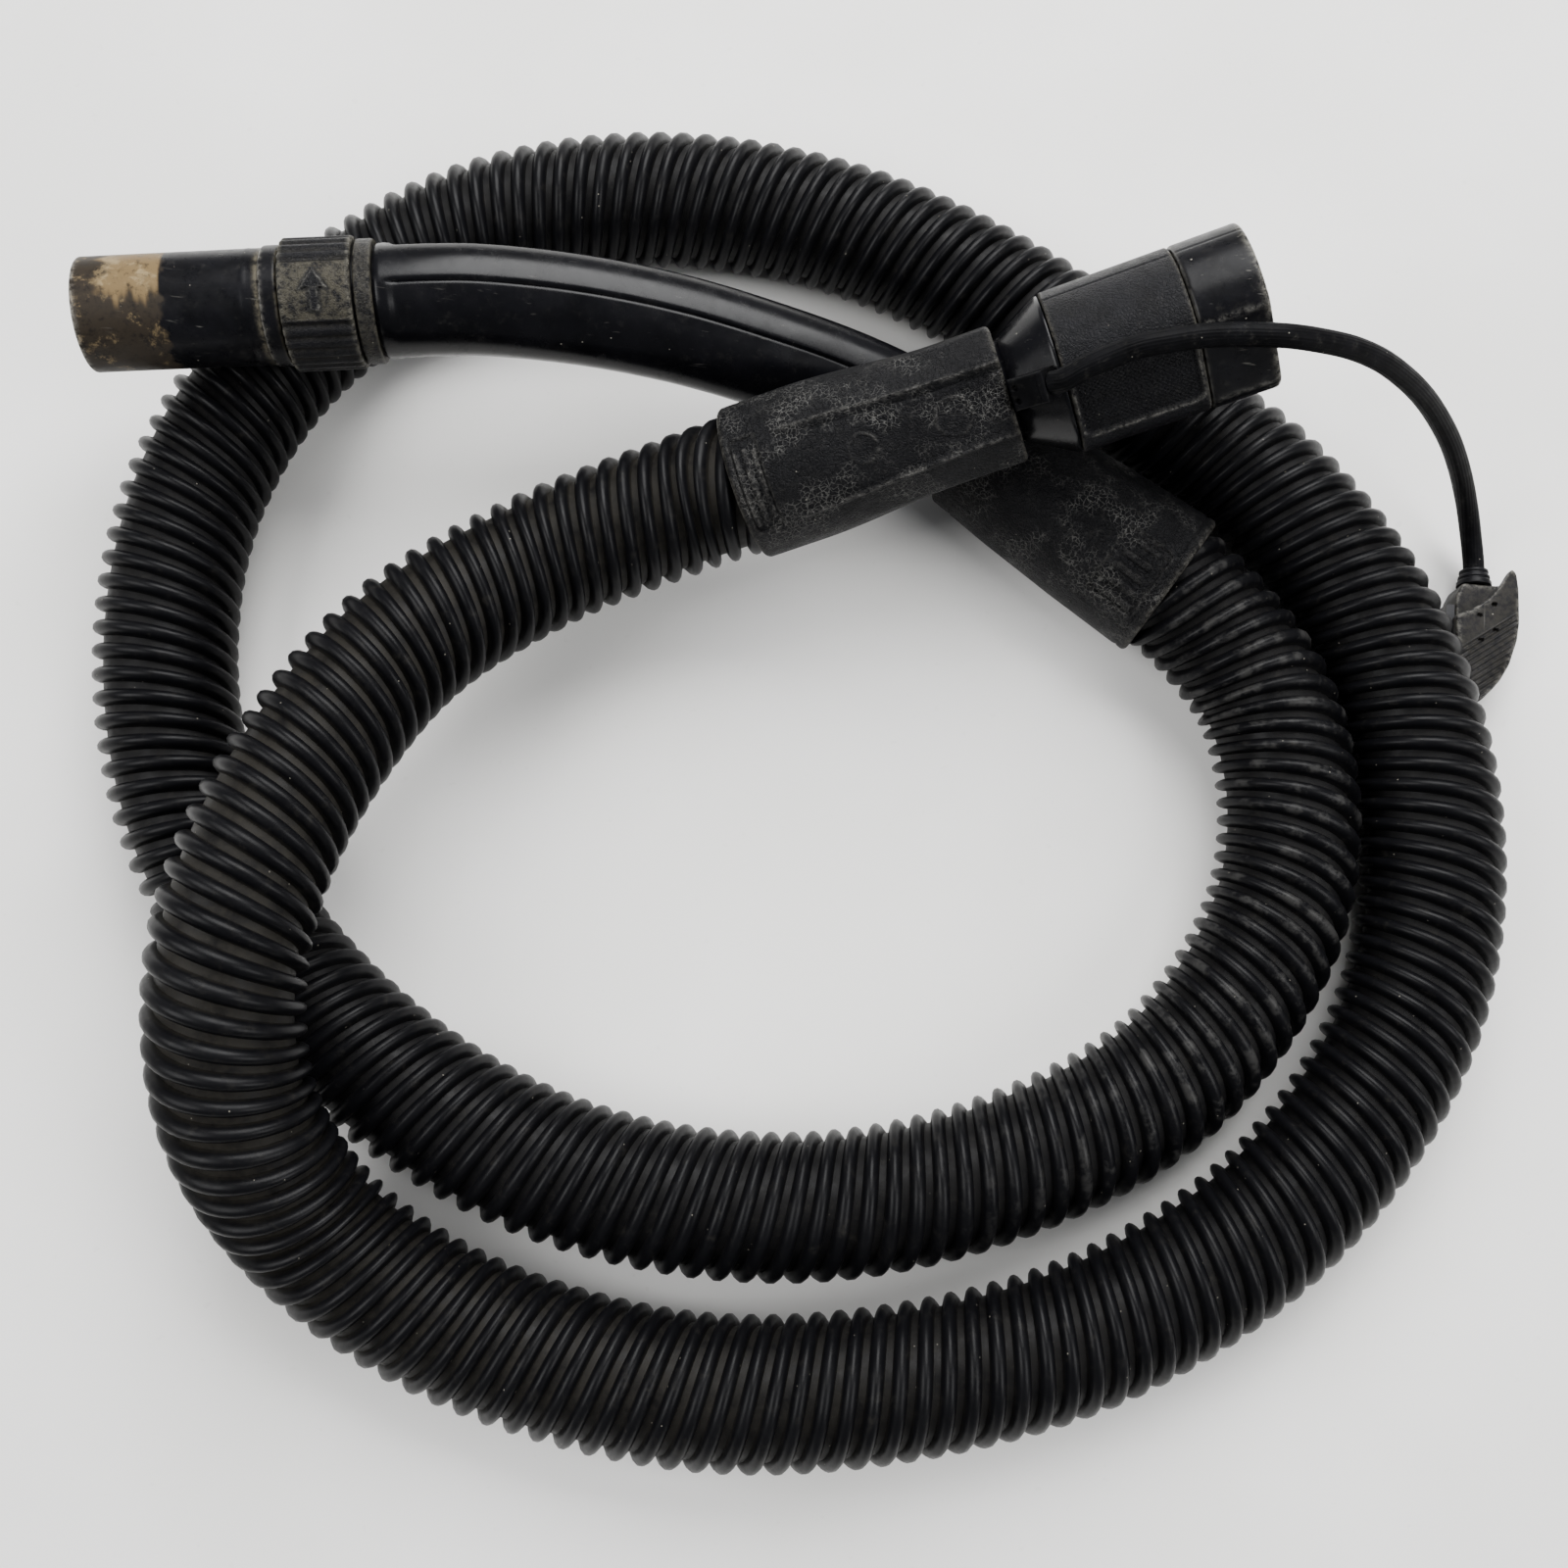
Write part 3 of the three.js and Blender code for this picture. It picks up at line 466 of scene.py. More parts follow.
def routeLine(points, perSpan=24):
    # Centripetal Catmull-Rom spline. Each span is the cubic between two points whose end slopes come from
    # their neighbours, with the knots spaced by the square root of the distance between points
    p = np.array(points, float)
    p = np.vstack([2 * p[0] - p[1], p, 2 * p[-1] - p[-2]])
    knot = np.sqrt(np.linalg.norm(np.diff(p, axis=0), axis=1))[:, None]
    a, b, c, d = p[:-3], p[1:-2], p[2:-1], p[3:]
    k0, k1, k2 = knot[:-2], knot[1:-1], knot[2:]
    m1 = ((b - a) / k0 - (c - a) / (k0 + k1) + (c - b) / k1) * k1
    m2 = ((c - b) / k1 - (d - b) / (k1 + k2) + (d - c) / k2) * k1
    t = np.linspace(0, 1, perSpan, endpoint=False)[None, :, None]
    b, m1, c, m2 = (v[:, None] for v in (b, m1, c, m2))
    line = b + m1 * t + (3 * (c - b) - 2 * m1 - m2) * t ** 2 + (2 * (b - c) + m1 + m2) * t ** 3
    line = np.vstack([line.reshape(-1, 3), p[-2]])
    along = np.concatenate([[0], np.cumsum(np.linalg.norm(np.diff(line, axis=0), axis=1))])
    return line, along


def sweep(route, s, angle, radius):
    # a point on a tube: the route's point at s, then the radius towards the angle, from level side to upwards
    line, along = route
    tangent = np.gradient(line, along, axis=0)
    at = lambda values: np.stack([np.interp(s, along, values[:, k]) for k in range(3)], -1)
    t = at(tangent)
    t /= np.linalg.norm(t, axis=-1, keepdims=True)
    side = np.cross([0, 0, 1], t)
    side /= np.linalg.norm(side, axis=-1, keepdims=True)
    up = np.cross(t, side)
    return at(line) + (radius * np.cos(angle))[..., None] * side + (radius * np.sin(angle))[..., None] * up


low = 0.0215             # m, height of the hose's axis where it lies on the floor
hoseRoute = [
    (-0.0014, 0.0828, 0.0517), (-0.0214, 0.0758, 0.0457), (-0.0396, 0.0694, 0.0403),
    (-0.0809, 0.0487, 0.037), (-0.1135, 0.018, 0.0465), (-0.1324, -0.0199, 0.0585),
    (-0.1418, -0.0557, 0.0665), (-0.1438, -0.0857, 0.066), (-0.1383, -0.1202, 0.053),
    (-0.1188, -0.1497, 0.031), (-0.0793, -0.1722, low), (-0.0163, -0.1837, low), (0.0437, -0.1772, low),
    (0.1037, -0.1557, low), (0.1557, -0.1157, low), (0.1887, -0.0597, low), (0.1947, -0.0017, low),
    (0.1781, 0.0562, low), (0.1402, 0.1028, low), (0.0997, 0.1278, low), (0.0657, 0.1523, low),
    (0.0027, 0.1783, low), (-0.0628, 0.1828, low), (-0.1213, 0.1643, low), (-0.1698, 0.1208, low),
    (-0.1918, 0.0723, low), (-0.1943, 0.0233, low), (-0.1808, -0.0277, low), (-0.1543, -0.0677, low),
    (-0.1058, -0.1067, low), (-0.0513, -0.1287, low), (0.0127, -0.1322, low), (0.0699, -0.1162, low),
    (0.1182, -0.0852, low), (0.146, -0.0422, low), (0.1519, -0.0047, low), (0.1447, 0.0288, low),
    (0.1297, 0.0493, 0.0225), (0.1129, 0.0635, 0.0243), (0.0924, 0.0761, 0.0243),
]
cordRoute = [
    (0.0614, 0.0918, 0.0952), (0.0637, 0.0918, 0.0974), (0.0687, 0.0939, 0.1013), (0.0754, 0.0967, 0.1038),
    (0.0819, 0.0992, 0.1054), (0.0895, 0.1011, 0.1063), (0.097, 0.1027, 0.1072), (0.1047, 0.1036, 0.108),
    (0.1123, 0.104, 0.1086), (0.121, 0.1046, 0.1083), (0.1307, 0.1059, 0.1052), (0.141, 0.1076, 0.1),
    (0.1513, 0.109, 0.0927), (0.1616, 0.1098, 0.0833), (0.1712, 0.1102, 0.073), (0.1801, 0.11, 0.062),
    (0.1891, 0.1088, 0.05), (0.197, 0.1069, 0.038), (0.2034, 0.1043, 0.0275), (0.2088, 0.1, 0.0184),
    (0.2128, 0.094, 0.0116), (0.2149, 0.0884, 0.0083), (0.2155, 0.0844, 0.0073), (0.2155, 0.0801, 0.0072),
]
tubeRoute = [
    (0.0652, 0.0928, 0.0243), (0.0567, 0.098, 0.0243), (0.0473, 0.1038, 0.0243),
    (0.0376, 0.1094, 0.0249),
    (0.0225, 0.1154, 0.0278), (0.0045, 0.1196, 0.0324), (-0.0165, 0.1224, 0.0382), (-0.0448, 0.1248, 0.0455),
    (-0.0745, 0.1249, 0.0518), (-0.1034, 0.1227, 0.0566), (-0.1183, 0.1204, 0.0581),
    (-0.1331, 0.1177, 0.0588),
]

joints = {joint["name"]: joint for joint in frame["joints"]}


hose = {
    "crestRadius": 0.0211,
    "grooveDepth": 0.0033,
    "bore": 0.0172,
    "pitch": 0.0068,
    "starts": 4,              # ribs that run side by side round the hose
    "hand": -1,               # +1 or -1: which way the helix runs
    "beadShare": 0.7,         # of the pitch
    "sides": 36,
    "boreRows": 200,
    "length": 1.93,
    "diameter": 0.042,
}


def beadHeight(turn):
    # a superellipse bead over the bead's share of the pitch, and a flat web between beads
    offset = np.abs((turn % 1.0) / hose["beadShare"] * 2 - 1)
    return np.where(offset < 1, np.clip(1 - offset ** 2.1, 0, 1) ** 0.6, 0)


def makeHose():
    # The grid follows the helix: rows run along it in steps of the bead's own profile, and going once round
    # the tube moves a row on by as many pitches as there are starts. Rows past an end are pressed onto it
    route = routeLine(hoseRoute)
    length = route[1][-1]
    profile = np.array([0.0, 0.05, 0.18, 0.38, 0.62, 0.82, 0.95, 1.0]) * hose["beadShare"]
    starts, pitch = hose["starts"], hose["pitch"]
    phase = (np.arange(-starts, int(length / pitch) + 2)[:, None] + profile[None]).ravel()[:, None]
    column = np.arange(hose["sides"] + 1)[None] / hose["sides"]
    wanted = (phase + starts * column) * pitch
    s = np.clip(wanted, 0, length)
    height = beadHeight(s / pitch - starts * column + 1e-9)
    height = np.where((wanted > 0) & (wanted < length), beadHeight(phase + 0 * column), height)
    radius = hose["crestRadius"] - hose["grooveDepth"] * (1 - height)
    angle = hose["hand"] * column * 2 * np.pi
    boreS = np.linspace(0, length, hose["boreRows"])[:, None] + 0 * column
    outer = sweep(route, s, angle + 0 * s, radius)
    inner = sweep(route, boreS, angle + 0 * boreS, hose["bore"] + 0 * boreS)
    index = gridIndex(*s.shape, wrapped=False)
    step = len(profile) * starts
    index[:-step, -1] = index[step:, 0]
    first = index[np.argmax(wanted > 0, axis=0) - 1, np.arange(index.shape[1])]
    last = index[np.argmax(wanted >= length, axis=0), np.arange(index.shape[1])]
    first[-1], last[-1] = first[0], last[0]
    index = np.where(wanted <= 0, first[None], index)
    index = np.where(wanted >= length, last[None], index)
    innerIndex = gridIndex(*boreS.shape, wrapped=False) + s.size
    innerIndex[:, -1] = innerIndex[:, 0]
    quads = np.concatenate([
        gridQuads(index), gridQuads(innerIndex)[:, ::-1],
        gridQuads(np.stack([innerIndex[0], first])), gridQuads(np.stack([last, innerIndex[-1]]))])
    triangles = wholeTriangles(quads[:, ::hose["hand"]])
    alongAll = np.concatenate([s.ravel(), boreS.ravel()])
    upward = np.concatenate([np.sin(angle + 0 * s).ravel(), np.zeros(boreS.size)])
    attributes = {
        "groove": np.concatenate([1 - height.ravel(), np.ones(boreS.size)]),
        "dirty": np.clip(1 - smooth(alongAll, 0.30, 0.62) * 0.8, 0, 1) * (0.55 + 0.45 * upward),
        "chafed": smooth(alongAll, 1.62, 1.74),
    }
    vertices = np.concatenate([outer.reshape(-1, 3), inner.reshape(-1, 3)])
    piece = makePiece("ribbed_hose", vertices, triangles, hoseMaterial(), "hose_assembly",
                      ["hose"], attributes, sharpAngle=60)
    print("hose", round(float(length), 4), "m,", len(triangles), "triangles")


cord = {"radius": 0.00325, "striations": 22, "striationDepth": 0.0001, "length": 0.221}      # m


def makeCord():
    # a tube with fine grooves along it, closed by a disc at each end
    route = routeLine(cordRoute, 12)
    s = np.linspace(0, route[1][-1], 240)[:, None]
    angle = fullTurn(88)
    radius = cord["radius"] - cord["striationDepth"] * (0.5 + 0.5 * np.cos(angle * cord["striations"])) ** 3
    wall = sweep(route, s + 0 * angle, angle + 0 * s, radius + 0 * s)
    index = gridIndex(*wall.shape[:2])
    centres = np.full((1, index.shape[1]), index.max() + 1)
    triangles = wholeTriangles(gridQuads(np.vstack([centres, index, centres + 1])))
    vertices = np.concatenate([wall.reshape(-1, 3), [cordRoute[0], cordRoute[-1]]])
    piece = makePiece("pigtail", vertices, triangles, plainPlastic("drawn rubber jacket"), "hose_assembly",
                      ["pigtail_cord"])
    return piece, route


machineAxis = np.array(joints["connector_swivel"]["axis"])
bodyStart = 97.5           # mm from the cuff's mouth, where the swivel joint's own point lies
swivelPoint = np.array(joints["connector_swivel"]["pos_m"]) / mm
machine = localFrame(swivelPoint - machineAxis * bodyStart, machineAxis)
cuff = {
    "length": 82.0, "lip": 1.6, "mouthRadius": 23.0, "flat": 19.5, "corner": 21.6, "flatAngle": 117.0,
    "socketRadius": 21.75, "socketEnd": 26.0, "boreRadius": 16.5, "ridgeStart": 15.0,
    "ridgeHeight": 0.8, "ridgeWidth": 0.6,
    "badges": [(39.2, 4.6), (65.8, 5.8)],     # distance from the mouth, radius
    "labelCentre": 6.4, "labelHalf": (4.2, 14.0), "labelDepth": 0.9,
}


def softFlats(angle, flatAngle, flat, corner, softness):
    # distance to an octagon with four near and four far sides, its corners eased by a power mean
    total = 0
    for k in range(4):
        for base, distance in ((0, flat), (45, corner)):
            facing = np.maximum(np.cos(angle - np.radians(flatAngle + base + 90 * k)), 1e-3)
            total = total + (facing / distance) ** softness
    return total ** (-1 / softness)


def roundedBox(u, v, halfU, halfV, corner):
    # distance outside a rounded rectangle, negative inside
    du, dv = np.abs(u) - halfU + corner, np.abs(v) - halfV + corner
    return np.hypot(np.maximum(du, 0), np.maximum(dv, 0)) + np.minimum(np.maximum(du, dv), 0) - corner


def labelBars(u, v, halfU, halfV, rows):
    # plain raised bars in rows across u, each row a little shorter than the one before
    row = np.clip(np.floor((v + halfV) / (2 * halfV) * rows), 0, rows - 1)
    middle = (row + 0.5) / rows * 2 * halfV - halfV
    bar = roundedBox(u, v - middle, halfU * (0.86 - 0.07 * row), halfV / rows * 0.45, 0.2)
    return smooth(bar, 0.2, -0.2)


def cuffSurface(x, angle):
    # round at the mouth, easing to the octagon, then ridges, two badges and the label panel in relief
    t = smooth(x, 18, 71)
    octagon = softFlats(angle, cuff["flatAngle"], cuff["flat"], cuff["corner"], 60)
    radius = (1 - t) * cuff["mouthRadius"] + t * octagon - lipDrop(x, 0, cuff["length"], cuff["lip"])
    turn = angle - np.radians(cuff["flatAngle"])
    across = radius * np.sin(turn)
    facing = np.cos(turn) > 0
    halfWidth = 12.6 - 2.5 * smooth(x, 15, 75)
    started = facing * smooth(x, cuff["ridgeStart"], cuff["ridgeStart"] + 3)
    ridge = bell(np.abs(across) - halfWidth, cuff["ridgeWidth"])
    relief = started * (cuff["ridgeHeight"] * ridge - 0.6 * bell(across + halfWidth - 1.9, 0.5))
    # the ridge crests get the wear colour: partly rubbed wear, partly a painted highlight along the beads
    worn = started * 0.45 * ridge
    for centre, size in cuff["badges"]:
        away = np.hypot(x - centre, across)
        disc = 0.3 * smooth(away, size, size - 0.5) - 0.22 * smooth(away, size - 0.7, size - 1.2)
        relief = relief + facing * disc
        worn = np.maximum(worn, facing * 0.3 * bell(away - size + 0.4, 0.4))
    outside = roundedBox(x - cuff["labelCentre"], across, *cuff["labelHalf"], 1.2)
    bars = labelBars(across, x - cuff["labelCentre"], cuff["labelHalf"][1], cuff["labelHalf"][0], 3)
    onLabel = facing * smooth(outside, 0.25, -0.25)
    worn = np.maximum(worn, np.maximum(0.4 * bars * onLabel, facing * 0.3 * bell(outside, 0.4)))
    return radius + relief - onLabel * (cuff["labelDepth"] - 0.6 * bars), worn


def makeCuff():
    x = stationsBetween(0, cuff["length"], 0.55, cuff["lip"])[:, None]
    angle = fullTurn(300)
    radius, worn = cuffSurface(x, angle)
    bore = np.where(x < cuff["socketEnd"], cuff["socketRadius"], cuff["boreRadius"])
    edge = nearEnds(x, 0, cuff["length"], 0.9)
    material = wornMaterial("grained cuff vinyl", "leather-grained vinyl", "#807e79", 0.45)
    makeShell("grained_cuff", x, angle, radius, bore, machine, material, "hose_assembly", "cuff_vinyl",
              "machine_cuff", worn=np.maximum(worn, 0.35 * edge), grime=0.12 * edge)


connector = {
    "coneStart": 82.5, "coneEnd": 97.15, "coneFoot": 15.0, "coneTop": 22.8, "neckBore": 12.5,
    "bodyEnd": 134.6, "noseStart": 134.95, "noseEnd": 154.25, "noseLip": 1.1,
    "radius": 23.3, "flat": 19.5, "flatAngle": 147.0, "partingAngle": 51.0, "shellBore": 16.5,
    "noseBore": 17.1, "spigotRadius": 16.15, "spigotBore": 13.9,
    "panelHalf": 10.5, "panelMargin": 1.6, "panelDepth": 0.9,
    "neckStart": 62.0, "clipGroove": (65.65, 68.75, 13.65),      # from, to, radius
}


def connectorRadius(angle, softness=40):
    # a circle cut by two opposite finger flats, the edges eased by a power mean
    facing = np.abs(np.cos(angle - np.radians(connector["flatAngle"])))
    flat = (np.maximum(facing, 1e-3) / connector["flat"]) ** softness
    return (flat + (1 / connector["radius"]) ** softness) ** (-1 / softness)


def makeConnectorShells():
    # two half shells with a stippled finger panel each; the grid starts on the parting line
    start, end = bodyStart, connector["bodyEnd"]
    x = stationsBetween(start, end, 0.5, 0.8)[:, None]
    count = 360
    angle = fullTurn(count, np.radians(connector["partingAngle"]))
    radius = connectorRadius(angle) - lipDrop(x, start, end, 0.8)
    across = radius * np.abs(np.sin(angle - np.radians(connector["flatAngle"])))
    panelLength = (end - start) / 2 - connector["panelMargin"]
    inPanel = roundedBox(x - (start + end) / 2, across, panelLength, connector["panelHalf"] - 0.6, 2.2)
    stipple = 0.3 * np.sin(x * 2 * np.pi / 1.5) * np.sin(across * 2 * np.pi / 1.5)
    radius = radius - smooth(inPanel, 0.3, -0.5) * (connector["panelDepth"] - stipple)
    parting = np.abs(np.sin(angle - np.radians(connector["partingAngle"]))) * radius
    radius = radius - 0.35 * bell(parting, 0.35)
    edge = nearEnds(x, start, end, 0.7)
    # the line just outside each finger panel gets the wear colour as a painted edge highlight; the shell rims
    # get real wear
    material = wornMaterial("spark-textured shell ABS", "spark-textured ABS", "#83817b", 0.5)
    for side, first in (("front", 0), ("back", count // 2)):
        kept = np.zeros((len(x) - 1, count), bool)
        kept[:, first:first + count // 2] = True
        makeShell(side + "_shell", x, angle, radius, connector["shellBore"], machine, material, "connector",
                  "moulded_plastic", f"connector_{side}_shell", kept,
                  worn=np.maximum(0.3 * edge, bell(inPanel - 0.45, 0.35)), grime=0.15 * edge)


def makeNose():
    # the sleeve with its parting marks and chipped rim, and behind it the spigot that the shells hold
    start, end = connector["noseStart"], connector["noseEnd"]
    sleeve = stationsBetween(start, end, 0.6, connector["noseLip"])[:, None]
    angle = fullTurn(300)
    radius = connectorRadius(angle) - lipDrop(sleeve, start, end, connector["noseLip"])
    parting = np.abs(np.sin(angle - np.radians(connector["partingAngle"]))) * radius
    chips = np.sin(angle * 37) * np.sin(angle * 11 + 1) * 0.12 * bell(end - sleeve, 0.8)
    radius = radius - 0.18 * bell(parting, 0.3) + np.minimum(chips, 0)
    spigot = np.linspace(start - 10, start - 0.01, 3)[:, None]
    radius = np.vstack([connector["spigotRadius"] + 0 * spigot + 0 * angle, radius])
    x = np.vstack([spigot, sleeve])
    bore = np.where(x > start + 3, connector["noseBore"], connector["spigotBore"])
    bore = bore + 1.3 * smooth(x, end - 1.5, end)
    edge = bell(end - x, 1.3) + 0.35 * bell(x - start, 0.6)
    # along the edges of the flats the wear colour is a painted edge highlight; at the rims it is real
    # chipping and wear
    facing = np.abs(np.cos(angle - np.radians(connector["flatAngle"])))
    flatEdgeHighlight = bell(facing - connector["flat"] / connector["radius"], 0.02)
    material = wornMaterial("scuffed nose ABS with painted edge highlight", "satin ABS", "#8f8d87", 0.45)
    makeShell("nose", x, angle, radius, bore, machine, material, "connector", "satin_plastic", "nose_sleeve",
              worn=(np.maximum(edge, 0.5 * flatEdgeHighlight), 0.4 * edge), grime=(0.2 * edge, 0.6))


def makeCone():
    # the swivel core: neck inside the cuff, then the glossy cone that flares to the body
    c = connector
    grooveStart, grooveEnd, grooveRadius = c["clipGroove"]
    coreEnd = bodyStart + 14
    profile = [
        (c["neckStart"], c["neckBore"]), (coreEnd, c["neckBore"]), (coreEnd, c["spigotRadius"]),
        (c["coneEnd"], c["spigotRadius"]), (c["coneEnd"], c["coneTop"]), (c["coneEnd"] - 0.95, c["coneTop"]),
        (c["coneStart"], c["coneFoot"]), (grooveEnd, c["coneFoot"]), (grooveEnd, grooveRadius),
        (grooveStart, grooveRadius), (grooveStart, c["coneFoot"]), (c["neckStart"], c["coneFoot"]),
    ]
    turnedPiece("swivel_cone", profile, machine, plainPlastic("polished ABS"), "connector",
                ["connector_core"], radius=0.45)


relief = {
    "angle": 116.5, "slope": 33.0, "length": 15.5, "height": 7.4, "width": 8.6, "back": 82.4, "foot": 16.0,
    "corner": 0.7, "pinHoles": [(-1.6, -1.9), (-1.6, 1.9)], "steps": (60, 50),
}


def makeRelief():
    # A sloping block on a grid over its top, closer at the edges, which are rounded; two pin holes and a step
    # lower the top. Its underside is the same grid, lying flat. x runs up the slope and y across it
    length, width, corner = relief["length"], relief["width"], relief["corner"]
    u, v = (np.sin(np.linspace(-1, 1, steps) * np.pi / 2) for steps in relief["steps"])
    x, y = np.broadcast_arrays(u[:, None] * length / 2, v[None] * width / 2)
    edge = np.minimum(length / 2 - np.abs(x), width / 2 - np.abs(y))
    near = np.clip(corner - edge, 0, corner)
    top = relief["height"] - (corner - np.sqrt(corner ** 2 - near ** 2))
    top = top - 0.3 * smooth(x, length / 2 - 2.0, length / 2 - 2.3)
    for holeX, holeY in relief["pinHoles"]:
        top = top - 1.1 * smooth(np.hypot(x - holeX, y - holeY), 0.85, 0.6)
    slope, turn = np.radians([relief["slope"], relief["angle"] - 90])
    along = x + length / 2
    upper, lower = (np.stack([
        relief["back"] + along * np.cos(slope) - height * np.sin(slope), y,
        relief["foot"] + along * np.sin(slope) + height * np.cos(slope),
    ], -1).reshape(-1, 3) for height in (top, 0 * top))
    upper[:, 0] = np.maximum(upper[:, 0], relief["back"])
    rotate = np.array([[1, 0, 0], [0, np.cos(turn), np.sin(turn)], [0, -np.sin(turn), np.cos(turn)]])
    index = gridIndex(*top.shape, wrapped=False)
    around = np.concatenate([index[0, :-1], index[:-1, -1], index[-1, :0:-1], index[:0:-1, 0], index[0, :1]])
    quads = np.concatenate([
        gridQuads(index)[:, ::-1], gridQuads(index + index.size),
        gridQuads(np.stack([around, around + index.size]))[:, ::-1]])
    points = np.concatenate([upper, lower]) @ rotate
    makePiece("cord_relief", placed(points, machine), quads, plainPlastic("drawn rubber jacket"),
              "hose_assembly", ["strain_relief"])


plug = {
    "bottom": 0.4, "thickness": 15.2, "coverThickness": 3.8, "gap": 0.35, "centre": (217.0, 60.0),
    "body": [(207.9, 50), (207.9, 74.5), (210.2, 79.2), (221.4, 79.2), (225.8, 80.6), (226.9, 77), (227, 66),
             (226.2, 59.5), (223.6, 51.2), (220.4, 45.4), (215.8, 40.4), (212, 38.2), (209.6, 42.5)],
    "cover": [(206.2, 52.5), (206.2, 66.8), (211.5, 69.2), (217.2, 73.6), (221.6, 79.2), (224.2, 83.8),
              (225.6, 82.4), (226.3, 77), (226.4, 66), (225.6, 59.8), (223, 51.6), (219.8, 45.8),
              (215.4, 40.9), (211.8, 38.4), (208.4, 44)],
    "collarStart": 79.55,
    "collar": [(0.0, 5.4), (0.0, 3.9), (5.4, 3.9), (5.4, 4.4), (4.5, 4.5), (4.4, 4.1), (3.6, 4.2), (3.5, 4.8),
               (2.6, 4.9), (2.5, 4.5), (1.7, 4.6), (1.6, 5.3)],      # distance from the plug, radius
    "ribPitch": 1.55, "ribHeight": 0.5, "ribLean": 36.0, "ribTop": -76.5,
    "slots": [(218.3, 71.1), (213.6, 67.1), (218.7, 62.6), (214.0, 58.9)], "slotHalf": (0.75, 0.5),
}


def slabPiece(name, outline, centre, bottom, top, edge, material, slotName, node, detail=None, rings=46):
    # A closed slab with an outline that its centre sees whole. One grid runs from the middle of the
    # underside, out and up the rounded edge, and back to the middle of the top; the detail shapes the top
    corner = roundedProfile(outline, 1.2, 5)
    closedLine = np.vstack([corner, corner[:1]])
    lengths = np.concatenate([[0], np.cumsum(np.linalg.norm(np.diff(closedLine, axis=0), axis=1))])
    at = np.linspace(0, lengths[-1], 260, endpoint=False)
    rim = np.stack([np.interp(at, lengths, closedLine[:, k]) for k in range(2)], -1)
    reach = np.linalg.norm(rim - centre, axis=1)[None]
    bend = np.linspace(0, np.pi / 2, 7)[:, None]
    share = np.linspace(0, 1, rings)[:-1, None]
    lowerScale = np.vstack([share * (1 - edge / reach), 1 - edge * (1 - np.sin(bend)) / reach])
    scale = np.vstack([lowerScale, lowerScale[::-1]])
    rise = np.vstack([0 * share, edge * (1 - np.cos(bend))]) + 0 * reach
    z = np.vstack([bottom + rise, top - rise[::-1]])
    x, y = (centre[k] + scale * (rim[:, k] - centre[k]) for k in range(2))
    isTop = (np.arange(len(z)) >= len(rise))[:, None]
    inside = reach * (1 - scale)
    if detail is not None:
        z = z + isTop * detail(x, y, inside)
    index = gridIndex(*z.shape)
    index[0], index[-1] = index[0, 0], index[-1, 0]
    quads = gridQuads(index)
    if np.sum(rim[:, 0] * np.roll(rim[:, 1], -1) - np.roll(rim[:, 0], -1) * rim[:, 1]) < 0:
        quads = quads[:, ::-1]
    layers = {"worn": bell(z - top, 0.5) * bell(inside, 1.4), "grime": 0.08 * isTop + 0 * z}
    points = np.stack([x, y, z], -1).reshape(-1, 3) * mm
    return makePiece(name, points, wholeTriangles(quads), material, "hose_assembly", [node],
                     {key: values.ravel() for key, values in layers.items()})


def coverDetail(x, y, inside):
    # straight slanting grip ribs on the half away from the cord, and four small slots
    lean = np.radians(plug["ribLean"])
    rise = y * np.cos(lean) - x * np.sin(lean)
    phase = (rise / plug["ribPitch"]) % 1
    ribs = np.clip(1 - np.abs(phase * 2 - 1) * 1.5, 0, 1) ** 0.6
    ribbed = smooth(rise, plug["ribTop"], plug["ribTop"] - 0.5) * smooth(inside, 0.8, 1.3)
    relief = -0.35 * ribbed + plug["ribHeight"] * ribs * ribbed
    for cx, cy in plug["slots"]:
        box = roundedBox(x - cx, y - cy, *plug["slotHalf"], 0.25)
        relief = relief - 1.2 * smooth(box, 0.18, -0.18)
    return relief


def makePlug():
    material = wornMaterial("worn plug vinyl", "moulded plug vinyl", "#85837d", 0.4)
    top = plug["bottom"] + plug["thickness"]
    bodyTop = top - plug["coverThickness"] - plug["gap"]
    common = {"material": material, "slotName": "plug_vinyl", "centre": plug["centre"]}
    pieces = [
        slabPiece("plug_base", plug["body"], bottom=plug["bottom"], top=bodyTop, edge=1.0, node="plug_body",
                  **common),
        slabPiece("plug_lid", plug["cover"], bottom=bodyTop + plug["gap"], top=top, edge=0.9,
                  node="plug_cover", detail=coverDetail, rings=90, **common),
    ]
    entry = np.array(cordRoute[-1]) / mm
    collar = localFrame((entry[0], plug["collarStart"], entry[2]), (0, 1, 0))
    return pieces + [turnedPiece("plug_cord_rings", plug["collar"], collar, material, "hose_assembly",
                                 ["plug_collar"], radius=0.25, sides=64)]


handleOrigin = np.array(hoseRoute[-2]) / mm
handle = localFrame(handleOrigin, np.array(hoseRoute[-1]) / mm - handleOrigin)
grip = {
    "length": 78.0, "mouth": 24.0, "rear": 19.4, "socketRadius": 21.75, "socketEnd": 28.0, "bore": 16.3,
    "tubeBore": 17.0, "tubeSeat": 55.6,
    "labelAngle": 57.5, "labelCentre": 12.8, "labelHalf": (8.0, 11.5), "labelDepth": 0.9,
    "outletAngle": 205.0, "outletStation": 46.0, "outletHalf": (7.85, 5.85),
}


